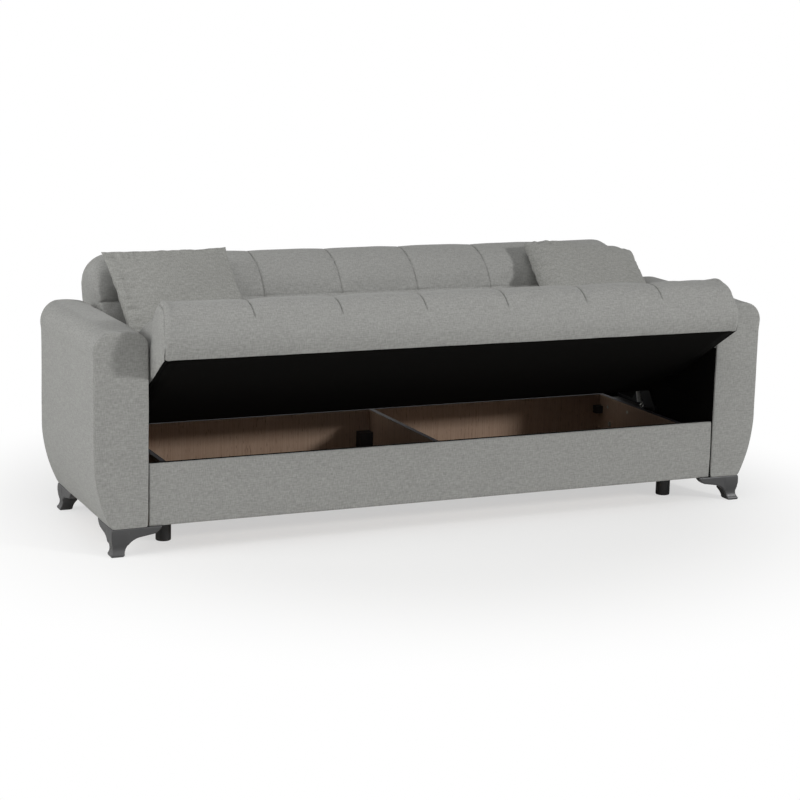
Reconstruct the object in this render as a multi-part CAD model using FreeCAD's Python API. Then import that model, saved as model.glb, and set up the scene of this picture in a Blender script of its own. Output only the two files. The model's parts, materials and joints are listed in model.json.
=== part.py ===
"""Storage sofa: two padded arms, a storage box between them, and a seat and back that fold on one hinge line.

Millimetres, X along the sofa, front at -Y, +Z up. The pieces are laid out with y = 0 at the front of the
arms and z = 0 on the floor, with the seat raised as for opening the box. At the end everything moves
along Y, so that the origin lies under the middle of the sofa.

The seat and the back are laid out in the frame of the hinge line, as if the sofa were closed: the seat lies
flat in front of the line, the back stands up above it, and both are then tilted back by OPEN_ANGLE.
"""
import FreeCAD
import Part
import math
import os

Vector = FreeCAD.Vector

# Overall sizes
OVERALL_WIDTH = 2206.0      # outside of one arm to outside of the other, at the widest
ARM_WIDTH = 150.5           # leaves 1905 between the arms: a sleeping length of 190 cm and a little over
ARM_DEPTH = 614.0
ARM_HEIGHT = 651.0
FOOT_HEIGHT = 82.0
ARM_TAPER = 47.0            # how much the outer side draws in at the foot
ARM_SWELL = 8.0             # how much the inner side swells towards the seat
ARM_FACING = 22.0           # padded front piece of the arm
ARM_PADDING = 14.0
ARM_CORNER = 42.0           # rounding of the arm's top edges
CORNER_SHARE = 0.6          # how fast that rounding tightens where the section is drawn in
ARM_REAR_ROUND = 46.0
ARM_BELLY = 188.0           # height above the foot at which the outer side stands straight
FACING_ROUND = 9.0
SEAM = 0.2
FRAME_BOARD = 16.0
FRAME_CLEAR = 10.0          # padding between the arm's frame and its inner and outer sides at the foot
FRAME_DROP = 31.0           # padding above it
WINDOW_HEIGHT = 190.0
WINDOW_MARGIN = 64.3        # from the frame's end to the windows in its outer board
WINDOW_POST = 34.2          # half the width of the post between them

# Storage box
BOX_INSET = 69.5            # from the arm's inner side to the outside of the box
BOX_TOP = 250.0
BOARD = 16.0                # chipboard
BOX_REAR_INSET = 7.0        # from the arm's rear to the outer face of the rear panel
FRONT_TOP = 266.0           # top of the covered front panel
FRONT_SET_BACK = 4.0
COVER = 8.0                 # padded cover of the front panel
COVER_FOLD = 2.0
COVER_HEM = 12.0
COVER_LAP = 0.8             # reach of the cover past the panel's ends
PANEL_CLEAR = 6.5           # from the arm's inner side at the foot to the panel's ends
FLOOR_SHEET = 4.0
BEARER_HEIGHT = 14.0
BEARER_WIDTH = 80.0
FRONT_BEARER_Y = 102.0
REAR_BEARER_INSET = 184.0   # from the arm's rear to a bearer's front edge
BAND = 1.0                  # edge band on the cut edges of the boards
CORNER_BLOCK = 25.0
CORNER_BLOCK_Z = 187.0
DIVIDER_BLOCK = 45.0
DIVIDER_BLOCK_Z = 128.0
DIVIDER_BLOCK_HEIGHT = 52.0
FRONT_BOLT = (75.0, 160.0)      # y and z of the long bolts that hold an arm to the box, in front
REAR_BOLT = (-100.0, 159.0)     # and behind, with y from the arm's rear
BOLT_PROUD = 8.0                # end of a long bolt past the frame board it holds
SPACER_Y = (45.0, 105.0)
SPACER_Z = (100.0, 220.0)

# Feet
FOOT_REACH = 151.0          # length of a foot's wing along the arm and the front
FOOT_WING = 25.0
FOOT_TOE = 4.0
FOOT_LEG = 42.0
FOOT_PLATE = 7.0
FOOT_REAR_INSET = 14.0      # from the arm's rear to the corner that the rear foot follows
SCREW_RADIUS = 2.5
SCREW_HEAD = 5.0
LEG_RADIUS = 23.0           # plain round support legs under the box
LEG_X_INSET = 93.5          # from the arm's inner side to a leg's axis
LEG_INSET_Y = 40.0          # from a bearer's front edge to a leg's axis

# Hinge line and mechanism
HINGE_OPEN_INSET = 196.0        # from the arms' rear to the hinge line with the box open
HINGE_OPEN_Z = 467.0
HINGE_CLOSED_INSET = 104.0      # and with the seat down
HINGE_CLOSED_Z = 453.0
OPEN_ANGLE = 32.0
PLATE = 3.0                     # steel plates of the mechanism
PLATE_GAP = 0.5
LINING = 2.0
LINING_CLEAR = 7.3              # from the arm's inner side at the foot to the lining
LINING_FOOT = 100.0
LINING_END = 20.0               # from the arm's rear to the lining's rear edge
LINING_FRONT = ((6.0, 313.0), (112.0, 325.0), (224.0, 334.0), (280.0, 328.0))   # top, y from the front panel
LINING_REAR = ((-194.0, 280.0), (-42.0, 252.0), (-20.0, 240.0))                 # top, y from the arm's rear
PIN_RADIUS = 7.0
PIN_FIT = 0.05                  # radial clearance of a pin or bolt in its hole
EAR_RADIUS = 14.0
STUD_RADIUS = 6.0
STUD_SPREAD = 60.0              # half the distance between a carriage's two lower studs
STUD_DROP = 240.0               # from the hinge line down to the studs
OVERLIFT = 9.0                  # slide travel past the open position
HOOK_X_INSET = 40.0             # from the arm's inner side to the spring's hooks
SPRING_STUD = (-16.0, -155.0)   # of the spring's upper stud from the hinge line
HOOK_RADIUS = 5.2
HOOK_STUD_RADIUS = 3.6
EYE_RADIUS = 6.0
EYE_WIRE = 1.6                  # radius of the eye's wire
PLAY = 0.15
SPRING_EYE_SET = 32.0           # from the hinge line forwards to the spring's lower eye
EYE_SHANK = 18.0
SHANK_RADIUS = 2.0
SPRING_RADIUS = 9.0
SPRING_WIRE = 2.4
SPRING_PITCH = 3.1
BOLT_RADIUS = 4.0
BOLT_HEAD = 8.5
BOLT_HEAD_HEIGHT = 3.0
BLOCK_FRONT = 46.0              # from the hinge line forwards to the timber block's front
BLOCK_REAR = 36.0               # from the arm's rear to its rear
BLOCK_Z = 105.0
BLOCK_STEP_Z = 190.0
BLOCK_STEP = 1.0                # gap between the block's upper part and the carriage
BLOCK_TOP = 240.0
BLOCK_SCREWS = ((30.0, 223.0), (-45.0, 215.0))  # y from the block's front and from its rear, and z
BLOCK_SCREW = 35.0
RAIL_PLATE_FOOT = 125.0
RAIL_PLATE_PROUD = 10.0         # reach of the rail plate above the block
RAIL_PLATE_ENDS = (26.0, 24.0)  # past the studs, in front and behind
CARRIAGE_EDGE = 20.0            # from the studs to the carriage's ends
CARRIAGE_WAIST = 85.0           # from the studs up to where the carriage has narrowed

# Seat and back
SEAT_OVERHANG = 15.0            # of the closed seat's front hem past the arms' fronts
SEAT_THICKNESS = 185.0
CUSHION_CLEAR = 19.5            # from the arm's inner side to a cushion's end
RELIEF_CLEAR = 0.7
CHANNELS = 7
END_CHANNEL = 1.5               # by which the channels at the ends are narrower than the others
GROOVE = 11.0                   # depth of a sewn channel seam
CREASE = 2.0                    # half the gap between seat and back at the hinge line
FRONT_BULGE = 36.0              # how far the seat's front swells past its hem
FRONT_SEAM = 83.0               # height at which the seat's channel seams end
BACK_HEIGHT = 440.0
BACK_ROOT = 185.0               # thickness of the back at the hinge line
BACK_TOP = 220.0                # and near its top
TUCK = 221.0                    # height at which the back's channel seams end
BACK_CROWN = 8.0
END_DRAW = 16.0                 # how far a cushion's end is drawn in along its edges
END_ROUND = 60.0                # length over which it draws in
RAIL = 40.0
RAIL_HEIGHT = 42.0
FRAME_INSET = 73.0              # from the arm's inner side to the end of a cushion frame
FRAME_MARGIN = 20.0             # from the cushion's front and rear to its frame
POCKET = 0.5
POCKET_DEPTH = 50.0
CLOTH = 1.0
SEAT_PLATE_REACH = 232.0        # of the seat's steel plate forwards from the hinge line
SEAT_BOLTS = (210.0, 158.0)     # from the hinge line forwards to the plate's bolts
SEAT_BOLT_RISE = 24.0
SEAT_CORNER = 125.0             # length of the cushion's cut corner below the hinge line
BACK_PLATE_REACH = 176.0
BACK_BOLTS = (92.0, 152.0)
BACK_BOLT_INSET = 21.0
BOLT_GRIP = 29.0                # of a plate's bolt in the cushion frame
REAR_SHEET = 3.0                # thickness of the back's rear panel
SPRING_WIRE_HIDDEN = 3.2
ZIGZAG_HALF = 26.0
ZIGZAG_PITCH = 24.0
ZIGZAG_COUNT = 10

# Pillows
PILLOW_WIDTH = 404.0
PILLOW_HEIGHT = 332.0
PILLOW_FRONT = 62.0             # swell in front of the seam
PILLOW_REAR = 44.0              # swell behind it
PILLOW_DRAW = 0.09              # share of the half width by which the sides pull in
PILLOW_EDGE = 2.0
PILLOW_CLEAR = 0.3              # from the back's crown
PILLOW_UP = 200.0               # from the hinge line to a pillow's middle, up the back
PILLOW_LEAN = 3.0
LEFT_PILLOW_GAP = 23.5          # from the arm's inner side to the pillow
RIGHT_PILLOW_GAP = 13.5
RIGHT_PILLOW_TURN = -2.5

outer_x = OVERALL_WIDTH / 2
inner_x = outer_x - ARM_WIDTH
foot_x = outer_x - ARM_TAPER
arm_frame_in = inner_x + FRAME_CLEAR
arm_frame_out = foot_x - FRAME_CLEAR
box_x = inner_x - BOX_INSET
cushion_x = inner_x - CUSHION_CLEAR
channel_width = 2 * (cushion_x + END_CHANNEL) / CHANNELS
frame_x = inner_x - FRAME_INSET
floor_z = FOOT_HEIGHT + BEARER_HEIGHT
box_rear_outside = ARM_DEPTH - BOX_REAR_INSET
box_rear_y = box_rear_outside - BOARD
board_front_y = FRONT_SET_BACK + COVER
board_back_y = board_front_y + BOARD

hinge_open = (ARM_DEPTH - HINGE_OPEN_INSET, HINGE_OPEN_Z)
hinge_closed = (ARM_DEPTH - HINGE_CLOSED_INSET, HINGE_CLOSED_Z)
seat_depth = hinge_closed[0] + SEAT_OVERHANG
block_y = (hinge_open[0] - BLOCK_FRONT, ARM_DEPTH - BLOCK_REAR)
arm_bolt_places = [FRONT_BOLT, (ARM_DEPTH + REAR_BOLT[0], REAR_BOLT[1])]
block_screw_places = [(edge + inset, z) for edge, (inset, z) in zip(block_y, BLOCK_SCREWS)]

# The mechanism's plates lie side by side, from the arm's lining inwards
lining_x = inner_x - LINING_CLEAR - LINING
rail_plate_x = lining_x - PLATE
carriage_x = rail_plate_x - PLATE_GAP - PLATE
back_plate_x = carriage_x - PLATE_GAP - PLATE
seat_plate_x = back_plate_x - PLATE_GAP - PLATE
relief_x = seat_plate_x - RELIEF_CLEAR
hook_x = inner_x - HOOK_X_INSET
eye_y = hinge_open[0] - SPRING_EYE_SET
eye_z = BLOCK_TOP + EYE_RADIUS + EYE_WIRE

nodes = {}


def box(x_range, y_range, z_range):
    """A block between two values on each axis."""
    low = Vector(x_range[0], y_range[0], z_range[0])
    return Part.makeBox(x_range[1] - x_range[0], y_range[1] - y_range[0], z_range[1] - z_range[0], low)


def rod(radius, start, end):
    """A round bar from one point to another."""
    start = Vector(*start)
    way = Vector(*end) - start
    return Part.makeCylinder(radius, way.Length, start, way)


def bolt(start, end, shank=BOLT_RADIUS, head=BOLT_HEAD, head_height=BOLT_HEAD_HEIGHT):
    """A bolt whose head bears on start and whose shank runs to end."""
    start = Vector(*start)
    way = Vector(*end) - start
    way.normalize()
    return rod(shank, start, end).fuse(rod(head, start - way * head_height, start))


def mirrored(shape):
    """The same piece for the other end of the sofa."""
    return shape.mirror(Vector(0, 0, 0), Vector(1, 0, 0))


def add_pair(name, shape):
    """Stores the right piece and its mirror image for the left."""
    nodes["right_" + name] = shape
    nodes["left_" + name] = mirrored(shape)


def both_ends(shapes):
    """Pieces for both ends of the sofa as one group."""
    return Part.makeCompound(list(shapes) + [mirrored(shape) for shape in shapes])


def outline(start, steps, place):
    """A closed wire of lines (one point) and arcs (a point on the way and the end)."""
    edges = []
    here = place(*start)
    for step in steps:
        points = [place(*point) for point in step]
        if len(points) == 1:
            edges.append(Part.makeLine(here, points[0]))
        else:
            edges.append(Part.Arc(here, points[0], points[1]).toShape())
        here = points[-1]
    return Part.Wire(edges)


def plate_outline(points, x, thickness):
    """A flat plate in the YZ plane with straight edges."""
    corners = [Vector(x, y, z) for y, z in points]
    wire = Part.makePolygon(corners + corners[:1])
    return Part.Face(wire).extrude(Vector(thickness, 0, 0))


def arm_outline(y, drawn=0.0):
    """The right arm's section across the sofa, drawn in all round except at the foot."""
    high = ARM_HEIGHT - drawn
    outer = outer_x - drawn
    inner = inner_x + drawn
    corner = ARM_CORNER - CORNER_SHARE * drawn
    steps = [
        [(foot_x - drawn, FOOT_HEIGHT)],
        [(outer - ARM_TAPER * 0.32, FOOT_HEIGHT + ARM_BELLY / 2), (outer - 1, FOOT_HEIGHT + ARM_BELLY)],
        [(outer - corner * 0.06, high - corner * 1.86)],
        [(outer - corner * 0.31, high - corner * 0.43), (outer - corner * 1.07, high - 1)],
        [((outer + inner) / 2, high), (inner + corner * 0.86, high - corner * 0.07)],
        [(inner + corner * 0.17, high - corner * 0.36), (inner - ARM_SWELL + 1, high - corner * 1.21)],
        [(inner - ARM_SWELL, (ARM_HEIGHT + FOOT_HEIGHT) / 2 + 60), (inner + 2, FOOT_HEIGHT)],
    ]
    return outline((inner + 2, FOOT_HEIGHT), steps, lambda x, z: Vector(x, y, z))


def rounded_length(start, end, rounding):
    """A stretch of the arm whose end is rounded off all round; end may lie either way from start."""
    way = 1 if end > start else -1
    straight = end - way * rounding
    body = Part.Face(arm_outline(start)).extrude(Vector(0, straight - start, 0))
    sections = [arm_outline(straight + way * rounding * share, rounding * (1 - (1 - share * share) ** 0.5))
                for share in (0.0, 0.35, 0.65, 0.86, 0.97)]
    sections.append(arm_outline(end, rounding * 0.9))
    return body.fuse(Part.makeLoft(sections, True, False)).removeSplitter()


def make_arms():
    """Frame, padded cover, front piece and inner lining of both arms."""
    frame_in = arm_frame_in
    frame_out = arm_frame_out
    frame_top = ARM_HEIGHT - FRAME_DROP
    pad_end = ARM_DEPTH - ARM_PADDING
    cavity = box((frame_in - POCKET, frame_out + POCKET), (ARM_FACING - 1, pad_end),
                 (FOOT_HEIGHT - 1, frame_top + POCKET))
    pad = rounded_length(ARM_FACING, ARM_DEPTH, ARM_REAR_ROUND).cut(cavity)
    facing = rounded_length(ARM_FACING - SEAM, 0.0, FACING_ROUND)

    frame_y = (ARM_FACING + POCKET, ARM_DEPTH - ARM_PADDING - POCKET)
    frame = box((frame_in, frame_out), frame_y, (FOOT_HEIGHT, frame_top))
    hollow = box((frame_in + FRAME_BOARD, frame_out - FRAME_BOARD),
                 (frame_y[0] + FRAME_BOARD, frame_y[1] - FRAME_BOARD),
                 (FOOT_HEIGHT + FRAME_BOARD, frame_top - FRAME_BOARD))
    frame = frame.cut(hollow)
    middle_y = (frame_y[0] + frame_y[1]) / 2
    middle_z = (FOOT_HEIGHT + frame_top) / 2
    window_z = (middle_z - WINDOW_HEIGHT / 2, middle_z + WINDOW_HEIGHT / 2)
    for window_y in ((frame_y[0] + WINDOW_MARGIN, middle_y - WINDOW_POST),
                     (middle_y + WINDOW_POST, frame_y[1] - WINDOW_MARGIN)):
        frame = frame.cut(box((frame_out - FRAME_BOARD - 1, frame_out + 1), window_y, window_z))

    lining_top = [(board_back_y + y, z) for y, z in LINING_FRONT] + [(ARM_DEPTH + y, z) for y, z in LINING_REAR]
    lining_foot = [(ARM_DEPTH - LINING_END, LINING_FOOT), (lining_top[0][0], LINING_FOOT)]
    lining = plate_outline(lining_top + lining_foot, lining_x, LINING)

    hole_x = (box_x - BOARD - 1, frame_in + FRAME_BOARD + 1)
    holes = Part.makeCompound([rod(BOLT_RADIUS + PIN_FIT, (hole_x[0], y, z), (hole_x[1], y, z))
                               for y, z in arm_bolt_places])
    add_pair("arm_pad", pad.cut(holes))
    add_pair("arm_facing", facing)
    add_pair("arm_frame", frame.cut(holes))
    add_pair("arm_lining", lining.cut(holes))


def foot_profile(place):
    """A foot seen square to one side: e runs outwards from the arm's corner, z up."""
    heel = FOOT_TOE - FOOT_LEG
    steps = [
        [(0, FOOT_HEIGHT)],
        [(1, FOOT_HEIGHT * 0.7), (-3, FOOT_HEIGHT * 0.4)],
        [(-3, FOOT_HEIGHT * 0.22), (FOOT_TOE, 6)],
        [(FOOT_TOE - 2, 0)],
        [(heel + 7, 0)],
        [(heel + 2, 2), (heel, 8)],
        [(heel - 17, FOOT_HEIGHT * 0.47), (heel - 43, FOOT_HEIGHT * 0.64)],
        [(-FOOT_REACH + 45, FOOT_HEIGHT * 0.69), (-FOOT_REACH + 24, FOOT_HEIGHT * 0.73)],
        [(-FOOT_REACH + 10, FOOT_HEIGHT * 0.84), (-FOOT_REACH, FOOT_HEIGHT)],
    ]
    return outline((-FOOT_REACH, FOOT_HEIGHT), steps, place)


def make_feet():
    """Four corner feet, each with a wing along the front or rear, a wing along the arm and a screw plate."""
    span = FOOT_REACH + 20
    across = Part.Face(foot_profile(lambda e, z: Vector(foot_x + e, -20, z))).extrude(Vector(0, span, 0))
    along = Part.Face(foot_profile(lambda e, z: Vector(foot_x + 20, -e, z))).extrude(Vector(-span, 0, 0))

    def zone(e_x, e_y, z_range=(-1, FOOT_HEIGHT)):
        """A block given by its reach outwards from the corner on both axes."""
        return box((foot_x + e_x[0], foot_x + e_x[1]), (-e_y[1], -e_y[0]), z_range)

    leg_zone = (-FOOT_LEG - 8, 12)
    wing_zone = (-span + 20, -FOOT_LEG - 7)
    foot = across.common(along).common(zone(leg_zone, leg_zone))
    foot = foot.fuse(across.common(zone(wing_zone, (-FOOT_WING, 0))))
    foot = foot.fuse(along.common(zone((-FOOT_WING, 0), wing_zone)))
    plate = (-FOOT_LEG - 54, -FOOT_WING + 1)
    foot = foot.fuse(zone(plate, plate, (FOOT_HEIGHT - FOOT_PLATE, FOOT_HEIGHT)))
    near = -FOOT_WING - 9
    far = -FOOT_LEG - 40
    screws = []
    for e_x, e_y in ((near, far), (far, near), (far, far)):
        start = (foot_x + e_x, -e_y, FOOT_HEIGHT - FOOT_PLATE)
        end = (start[0], start[1], FOOT_HEIGHT + FRAME_BOARD - 4)
        screws.append(bolt(start, end, SCREW_RADIUS, SCREW_HEAD, 2.0))
        foot = foot.cut(rod(SCREW_RADIUS + PIN_FIT, (start[0], start[1], start[2] - 1), end))
    foot = foot.removeSplitter()
    middle = Vector(0, (ARM_DEPTH - FOOT_REAR_INSET) / 2, 0)
    rear_foot = foot.mirror(middle, Vector(0, 1, 0))
    screws += [screw.mirror(middle, Vector(0, 1, 0)) for screw in screws]
    add_pair("front_foot", foot)
    add_pair("rear_foot", rear_foot)
    nodes["foot_fasteners"] = both_ends(screws)
    for side in ("left", "right"):
        way = 1 if side == "right" else -1
        frame = nodes[side + "_arm_frame"]
        for screw in screws:
            centre = screw.BoundBox.Center
            frame = frame.cut(rod(SCREW_RADIUS + PIN_FIT, (way * centre.x, centre.y, FOOT_HEIGHT - 1),
                                  (way * centre.x, centre.y, FOOT_HEIGHT + FRAME_BOARD - 3)))
        nodes[side + "_arm_frame"] = frame


def make_box():
    """Boards of the storage box, the covered front panel, the bearers below it and its support legs."""
    front_half = inner_x - PANEL_CLEAR
    board_top = FRONT_TOP - COVER_FOLD
    board_y = (board_front_y, board_back_y)
    front = box((-front_half, front_half), board_y, (FOOT_HEIGHT + COVER_FOLD, board_top))
    cover_x = (-front_half - COVER_LAP, front_half + COVER_LAP)
    cover = box(cover_x, (FRONT_SET_BACK, board_front_y), (FOOT_HEIGHT, FRONT_TOP))
    long_edges = [edge for edge in cover.Edges
                  if edge.BoundBox.YMax < FRONT_SET_BACK + 0.1 and edge.BoundBox.XLength > 1]
    cover = cover.makeFillet(COVER * 0.6, long_edges)
    cover = cover.fuse(box(cover_x, (board_front_y - 2, board_back_y + COVER_FOLD), (board_top, FRONT_TOP)))
    hem_z = (board_top - COVER_HEM, FRONT_TOP)
    cover = cover.fuse(box(cover_x, (board_back_y, board_back_y + COVER_FOLD), hem_z))
    cover = cover.fuse(box(cover_x, (board_front_y - 2, board_back_y), (FOOT_HEIGHT, FOOT_HEIGHT + COVER_FOLD)))
    nodes["front_panel"] = front
    nodes["front_panel_cover"] = cover.removeSplitter()

    side_y = (board_back_y, box_rear_y)
    side = box((box_x - BOARD, box_x), side_y, (FOOT_HEIGHT, BOX_TOP - BAND))
    rear = box((-box_x, box_x), (box_rear_y, box_rear_outside), (FOOT_HEIGHT, BOX_TOP - BAND))
    divider = box((-BOARD / 2, BOARD / 2), side_y, (floor_z + FLOOR_SHEET, BOX_TOP - BAND))
    band_z = (BOX_TOP - BAND, BOX_TOP)
    nodes["edge_bands"] = Part.makeCompound([
        box((box_x - BOARD, box_x), side_y, band_z), box((-box_x, -box_x + BOARD), side_y, band_z),
        box((-BOARD / 2, BOARD / 2), side_y, band_z),
        box((-box_x, box_x), (box_rear_y, box_rear_outside), band_z)])
    inside = box_x - BOARD
    floor = box((-inside, inside), side_y, (floor_z, floor_z + FLOOR_SHEET))
    nodes["rear_panel"] = rear
    nodes["box_floor"] = floor
    nodes["divider"] = divider

    corner_x = inside - CORNER_BLOCK
    corner_y = box_rear_y - CORNER_BLOCK
    corner = box((corner_x, inside), (corner_y, box_rear_y), (CORNER_BLOCK_Z, CORNER_BLOCK_Z + CORNER_BLOCK))
    front_corner = corner.copy()
    front_corner.translate(Vector(0, board_back_y - corner_y, 0))
    block = box((BOARD / 2, BOARD / 2 + DIVIDER_BLOCK), (box_rear_y - DIVIDER_BLOCK * 0.8, box_rear_y),
                (DIVIDER_BLOCK_Z, DIVIDER_BLOCK_Z + DIVIDER_BLOCK_HEIGHT))
    nodes["corner_blocks"] = both_ends([corner, front_corner, block])

    legs = {}
    studs = []
    leg_x = inner_x - LEG_X_INSET
    for place, bearer_y in (("front", FRONT_BEARER_Y), ("rear", ARM_DEPTH - REAR_BEARER_INSET)):
        leg_y = bearer_y + LEG_INSET_Y
        top = (leg_x, leg_y, FOOT_HEIGHT)
        leg = rod(LEG_RADIUS, (leg_x, leg_y, 0), top)
        sole = [edge for edge in leg.Edges if edge.BoundBox.ZMax < 0.1]
        leg = leg.makeFillet(3.0, sole)
        well = (leg_x, leg_y, FOOT_HEIGHT - 22)
        legs[place] = leg.cut(rod(BOLT_RADIUS + PIN_FIT, well, top))
        stud_top = (leg_x, leg_y, floor_z - 2)
        studs.append(rod(BOLT_RADIUS, (leg_x, leg_y, well[2] + 1), stud_top))
        bearer = box((-inside, inside), (bearer_y, bearer_y + BEARER_WIDTH), (FOOT_HEIGHT, floor_z))
        hole = rod(BOLT_RADIUS + PIN_FIT, well, (leg_x, leg_y, floor_z - 1))
        nodes[place + "_bearer"] = bearer.cut(hole).cut(mirrored(hole))
    for place, leg in legs.items():
        add_pair(place + "_support_leg", leg)
    nodes["foot_fasteners"] = Part.makeCompound([nodes["foot_fasteners"], both_ends(studs)])

    bolts = []
    for y, z in arm_bolt_places:
        hole = rod(BOLT_RADIUS + PIN_FIT, (inside - 1, y, z), (box_x + 1, y, z))
        side = side.cut(hole)
        bolts.append(bolt((inside, y, z), (arm_frame_in + FRAME_BOARD + BOLT_PROUD, y, z)))
    screws = []
    for y, z in block_screw_places:
        side = side.cut(rod(SCREW_RADIUS + PIN_FIT, (inside - 1, y, z), (box_x + 1, y, z)))
        screws.append(bolt((inside, y, z), (box_x + BLOCK_SCREW, y, z), SCREW_RADIUS, SCREW_HEAD, 2.0))
    add_pair("side_panel", side)
    nodes["arm_bolts"] = both_ends(bolts)
    nodes["block_screws"] = both_ends(screws)


def make_base_mechanism():
    """Timber blocks beside the box, the slotted rail plates, the springs' eyes and the springs."""
    spacer = box((box_x, lining_x), SPACER_Y, SPACER_Z)
    block = box((box_x, rail_plate_x), block_y, (BLOCK_Z, BLOCK_STEP_Z))
    upper_block = box((box_x, carriage_x - BLOCK_STEP), block_y, (BLOCK_STEP_Z, BLOCK_TOP))
    block = block.fuse(upper_block).removeSplitter()
    plate_y = (hinge_open[0] - STUD_SPREAD - RAIL_PLATE_ENDS[0],
               hinge_closed[0] + STUD_SPREAD + RAIL_PLATE_ENDS[1])
    plate_z = (RAIL_PLATE_FOOT, BLOCK_TOP + RAIL_PLATE_PROUD)
    plate = box((rail_plate_x, rail_plate_x + PLATE), plate_y, plate_z)
    for slot in slide_slots():
        plate = plate.cut(slot)
    for y, z in arm_bolt_places:
        hole = rod(BOLT_RADIUS + PIN_FIT, (box_x - 1, y, z), (lining_x + 1, y, z))
        spacer = spacer.cut(hole)
        block = block.cut(hole)
        plate = plate.cut(hole)
    for y, z in block_screw_places:
        block = block.cut(rod(SCREW_RADIUS + PIN_FIT, (box_x - 1, y, z), (box_x + BLOCK_SCREW + 1, y, z)))
    eye = Part.makeTorus(EYE_RADIUS, EYE_WIRE, Vector(hook_x, eye_y, eye_z), Vector(0, 1, 0))
    shank = rod(SHANK_RADIUS, (hook_x, eye_y, BLOCK_TOP - EYE_SHANK), (hook_x, eye_y, eye_z - EYE_RADIUS))
    well = rod(SHANK_RADIUS + PIN_FIT,
               (hook_x, eye_y, BLOCK_TOP - EYE_SHANK - 1), (hook_x, eye_y, BLOCK_TOP + 1))
    block = block.cut(well)
    nodes["arm_spacers"] = both_ends([spacer])
    add_pair("mechanism_block", block)
    add_pair("rail_plate", plate)
    nodes["spring_eyes"] = both_ends([eye.fuse(shank)])
    add_pair("lift_spring", lift_spring())


def slide_slots():
    """The two slots of a rail plate, as long as the hinge line's travel."""
    start = Vector(0, *hinge_open)
    way = Vector(0, *hinge_closed) - start
    unit = Vector(way)
    unit.normalize()
    slots = []
    for side in (-1, 1):
        centre = start + Vector(0, side * STUD_SPREAD, -STUD_DROP)
        first = centre - unit * (OVERLIFT + 0.5)
        last = centre + way + unit * 0.5
        radius = STUD_RADIUS + PIN_FIT
        square = Vector(0, -unit.z, unit.y) * radius
        corners = [first - square, last - square, last + square, first + square]
        strip = Part.Face(Part.makePolygon([Vector(rail_plate_x - 1, c.y, c.z) for c in corners + corners[:1]]))
        slot = strip.extrude(Vector(PLATE + 2, 0, 0))
        for end in (first, last):
            slot_end = rod(radius, (rail_plate_x - 1, end.y, end.z), (rail_plate_x + PLATE + 1, end.y, end.z))
            slot = slot.fuse(slot_end)
        slots.append(slot)
    return slots


def lift_spring():
    """A tension spring of one wire: a hook round the block's eye, the coil, and a hook round the stud."""
    coil_radius = SPRING_RADIUS - SPRING_WIRE / 2
    bend = HOOK_RADIUS - SPRING_WIRE / 2 - PLAY
    low = Vector(hook_x, eye_y, eye_z + EYE_RADIUS + bend - EYE_WIRE)
    high = Vector(hook_x, *spring_stud_place()) - Vector(0, 0, bend - HOOK_STUD_RADIUS)
    length = (high - low).Length
    coil_length = length - 2 * HOOK_RADIUS
    turns = max(4, int(coil_length / SPRING_PITCH))
    pitch = coil_length / turns
    arcs = [[(0, HOOK_RADIUS, 0), (0, 0, -HOOK_RADIUS), (0, -HOOK_RADIUS, 0)]]
    slant = HOOK_RADIUS * math.sqrt(0.5)
    arcs.append([(0, -HOOK_RADIUS, 0), (0, -slant, slant), (0, 0, HOOK_RADIUS)])
    for half_turn in range(2 * turns):
        way = 1 if half_turn % 2 == 0 else -1
        z_start = HOOK_RADIUS + pitch * half_turn / 2
        first = ((way - 1) * coil_radius, 0, z_start)
        middle = (-coil_radius, way * coil_radius, z_start + pitch / 4)
        last = ((-way - 1) * coil_radius, 0, z_start + pitch / 2)
        arcs.append([first, middle, last])
    top = HOOK_RADIUS + coil_length
    arcs.append([(0, 0, top), (0, slant, top + HOOK_RADIUS - slant), (0, HOOK_RADIUS, top + HOOK_RADIUS)])
    arcs.append([(0, HOOK_RADIUS, length), (0, 0, length + HOOK_RADIUS), (0, -HOOK_RADIUS, length)])
    edges = [Part.Arc(Vector(*a), Vector(*b), Vector(*c)).toShape() for a, b, c in arcs]
    circle = Part.makeCircle(SPRING_WIRE / 2, Vector(*arcs[0][0]), Vector(0, 0, 1))
    spring = Part.Wire(edges).makePipeShell([Part.Wire([circle])], True, False)
    print("lift spring: turns", turns, "least gap to itself", round(least_gap(edges), 2))
    way = high - low
    spring.rotate(Vector(0, 0, 0), Vector(1, 0, 0), -math.degrees(math.atan2(way.y, way.z)))
    spring.translate(low)
    return spring


def least_gap(edges):
    """Smallest distance between a wire's surface and itself, from points along its middle line."""
    points = []
    for edge in edges:
        points += edge.discretize(9)[:-1]
    step = (points[1] - points[0]).Length
    apart = int(2.5 * SPRING_RADIUS / step)
    least = 1000.0
    for index, point in enumerate(points):
        for other in points[index + apart:]:
            least = min(least, (other - point).Length)
    return least - SPRING_WIRE


def spring_stud_place():
    """Y and z of the stud on the carriage that holds the spring's upper hook."""
    return hinge_open[0] + SPRING_STUD[0], hinge_open[1] + SPRING_STUD[1]


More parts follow.
